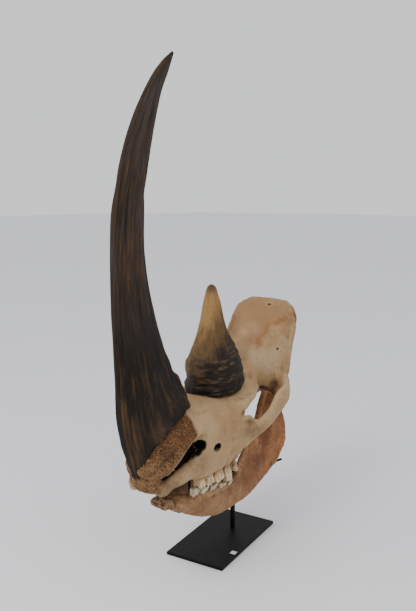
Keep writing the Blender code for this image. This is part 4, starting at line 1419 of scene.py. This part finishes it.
# %% Keratin of the rear horn
def rear_horn_finish():
    horn = Finish("rear_horn_keratin", roughness=0.55, specular=0.2)
    fibre = horn.node("ShaderNodeAttribute", {"attribute_name": "fibre"}, output="Vector")
    along = horn.part_of(fibre, "Z")
    broad = horn.clouds(0.3, 4.0, 0.6, fibre, (1.0, 1.0, 0.6))
    streak = horn.clouds(1.2, 5.0, 0.65, fibre, (1.0, 1.0, 0.06))
    bands = horn.clouds(0.8, 6.0, 0.7, fibre, (0.35, 0.35, 1.2))
    leftward, backward = horn.part_of(fibre, "X"), horn.part_of(fibre, "Y")
    level = along + broad * 16.0 - 8.0 - leftward * 0.65 - backward * 0.35
    horn.color = horn.mix(horn.fade(level, 9.6, 16.6), chip(28, 21, 16), chip(92, 68, 40))
    horn.paint(horn.fade(level, 17.0, 26.0), chip(150, 116, 70))
    horn.paint(horn.fade(along, 30.0, 33.0) * 0.8, chip(74, 56, 38))
    low = horn.stored("low")
    horn.paint(horn.fade(bands, 0.5, 0.66) * (0.2 + low * 0.5), chip(104, 78, 46))
    horn.paint(horn.fade(bands, 0.5, 0.34) * (0.15 + low * 0.7), chip(24, 18, 14))
    horn.paint(horn.fade(streak, 0.5, 0.7) * (1.0 - low) * 0.6, chip(96, 72, 42))
    horn.paint(horn.fade(horn.stored("groove"), -0.1, -0.8) * 0.6, chip(20, 15, 12))
    return horn.show(0.48 + streak * 0.25, streak * 1.2 + bands * low * 1.6, depth=0.0015)


rear_keratin = rear_horn_finish()
print("rear horn finish:", len(rear_keratin.node_tree.nodes), "nodes")

# %% [markdown]
# ## Enamel
#
# Enamel is ivory, with brown cement at its neck and in its folds, painted shade in the folds too, and
# painted shade between neighbours.
# The lower teeth are whiter than the upper ones. One finish serves all the teeth, because
# each mesh carries an amount that says in which jaw it sits.


# %% Enamel
def enamel_finish():
    tooth = Finish("tooth_enamel", roughness=0.4, specular=0.45)
    wide = tooth.clouds(60.0, 4.0, 0.6)
    upright = tooth.clouds(130.0, 4.0, 0.65, stretch=(1.0, 1.0, 0.15))
    upper_color = tooth.mix(tooth.fade(wide, 0.4, 0.68), chip(214, 190, 146), chip(178, 142, 94))
    lower_color = tooth.mix(tooth.fade(wide, 0.4, 0.68), chip(200, 186, 160), chip(160, 138, 108))
    tooth.color = tooth.mix(tooth.stored("lower"), upper_color, lower_color)
    tooth.paint(tooth.fade(upright, 0.5, 0.72) * 0.6, chip(120, 84, 50))
    tooth.paint(tooth.fade(tooth.stored("share"), 0.5, 0.2) * 0.7, chip(110, 76, 46))
    # painted shade between neighbouring teeth
    tooth.paint(tooth.stored("gap") * 0.85, chip(52, 33, 20))
    # painted shade and brown cement in the folds
    tooth.paint(tooth.fade(tooth.stored("hollow"), 0.05, 0.8) * 0.9, chip(60, 38, 22))
    return tooth.show(0.32 + wide * 0.25, upright + wide * 0.5, depth=0.0006)


enamel = enamel_finish()
print("enamel finish:", len(enamel.node_tree.nodes), "nodes")

# %% [markdown]
# ## Steel and card
#
# The paint on the steel is satin black with a very fine grain and a little dust. The card on
# the plate is plain paper. Flat colours would look like plastic, so both get a faint noise.


# %% Steel and card
def steel_finish():
    steel = Finish("black_steel", roughness=0.5, specular=0.12)
    grain = steel.clouds(900.0, 2.0, 0.5)
    dust = steel.clouds(30.0, 6.0, 0.7)
    steel.color = steel.mix(steel.fade(dust, 0.5, 0.8) * 0.5, chip(10, 10, 11), chip(20, 20, 21))
    return steel.show(0.4 + dust * 0.2, grain, depth=0.00012)


def card_finish():
    paper = Finish("blank_paper", roughness=0.8)
    fibres = paper.clouds(700.0, 4.0, 0.6)
    paper.color = paper.mix(fibres, chip(214, 212, 208), chip(228, 226, 222))
    return paper.show(0.8, fibres, depth=0.00008)


steel, paper = steel_finish(), card_finish()
print("steel and card are ready")

# %% [markdown]
# ## Dressing
#
# Each fine piece takes the place of its plain solid, rides on the same body and gets its
# material. The card has no solid of its own, so it only rides along.

# %% Hand every piece its finish, its CAD node and its body
DRESSED = [
    (cranium, "cranium", cranium_bone, "cranium_bone"),
    (mandible, "mandible", mandible_bone, "mandible_bone"),
    (front_horn, "front_horn", front_keratin, "front_horn_keratin"),
    (rear_horn, "rear_horn", rear_keratin, "rear_horn_keratin"),
    (plate, "base_plate", steel, "black_steel"),
    (post, "post", steel, "black_steel"),
    (jaw_bar, "jaw_bar", steel, "black_steel"),
    (jaw_arms, "jaw_arms", steel, "black_steel"),
    (palate_rod, "palate_rod", steel, "black_steel"),
]
DRESSED += [(tooth, node, enamel, "tooth_enamel") for tooth, node in teeth]
for piece, node, material, slot in DRESSED:
    piece.data.materials.clear()
    piece.data.materials.append(material)
    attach(piece, "root")
    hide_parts(node)
card.data.materials.append(paper)
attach(card, "root")
print("dressed pieces:", len(DRESSED) + 1)

# %% [markdown]
# ## Floor, light and camera
#
# The floor is a plain pale disc, nearly as bright as the pale grey sky behind it. One large
# soft light hangs in front and above and a weaker one fills from the right. The camera stands
# to the animal's left and looks down a little.

# %% Floor and sky
FLOOR_RADIUS = 9.0
SKY_COLOR, SKY_STRENGTH = (0.80, 0.81, 0.82, 1.0), 1.2
bm = bmesh.new()
bmesh.ops.create_circle(bm, cap_ends=True, segments=96, radius=FLOOR_RADIUS)
floor = as_object("floor", bm)
floor_finish = Finish("pale_floor", roughness=0.7)
speck = floor_finish.clouds(3.0, 3.0, 0.5)
floor_finish.color = floor_finish.mix(speck, chip(232, 232, 236), chip(235, 235, 240))
floor.data.materials.append(floor_finish.show(0.7, speck, depth=0.0))
world = bpy.data.worlds.new("studio_sky")
bpy.context.scene.world = world
world.use_nodes = True
world.node_tree.nodes["Background"].inputs["Color"].default_value = SKY_COLOR
world.node_tree.nodes["Background"].inputs["Strength"].default_value = SKY_STRENGTH
print("floor is", 2 * FLOOR_RADIUS, "m across")

# %% [markdown]
# ## Lights
#
# A large lamp gives a soft edge to every shadow, as a clouded window does. Each lamp is
# turned towards a point on the skull, so its place can be changed without aiming it again.


# %% Lights
def soft_light(name, place, target, size, power):
    lamp = bpy.data.lights.new(name, "AREA")
    lamp.shape = "DISK"
    lamp.size = size
    lamp.energy = power
    thing = bpy.data.objects.new(name, lamp)
    bpy.context.scene.collection.objects.link(thing)
    thing.location = place
    thing.rotation_euler = (Vector(target) - Vector(place)).to_track_quat("-Z", "Y").to_euler()


soft_light("key_light", (-0.5, -2.5, 3.2), (0.0, 0.0, 0.8), 1.6, 70.0)
soft_light("fill_light", (2.8, -1.4, 2.4), (0.0, 0.0, 0.6), 1.8, 14.0)
print("lights are on")

# %% [markdown]
# ## Camera
#
# The camera stands where the photograph was taken from, as far as that can be fitted, with a
# plain 50 mm lens. Its gaze is written as two angles, one round and one down.

# %% Camera
CAMERA_PLACE = (1.236, -2.205, 1.363)
AZIMUTH, PITCH = math.radians(30.30), math.radians(12.99)
camera = bpy.data.cameras.new("photo_camera")
camera.lens = 50.0
camera.sensor_width = 36.0
viewer = bpy.data.objects.new("photo_camera", camera)
bpy.context.scene.collection.objects.link(viewer)
viewer.location = CAMERA_PLACE
level_gaze = Vector((-math.sin(AZIMUTH), math.cos(AZIMUTH), 0.0))
gaze = level_gaze * math.cos(PITCH) - UP * math.sin(PITCH)
viewer.rotation_euler = gaze.to_track_quat("-Z", "Y").to_euler()
bpy.context.scene.camera = viewer
print("camera at", CAMERA_PLACE)
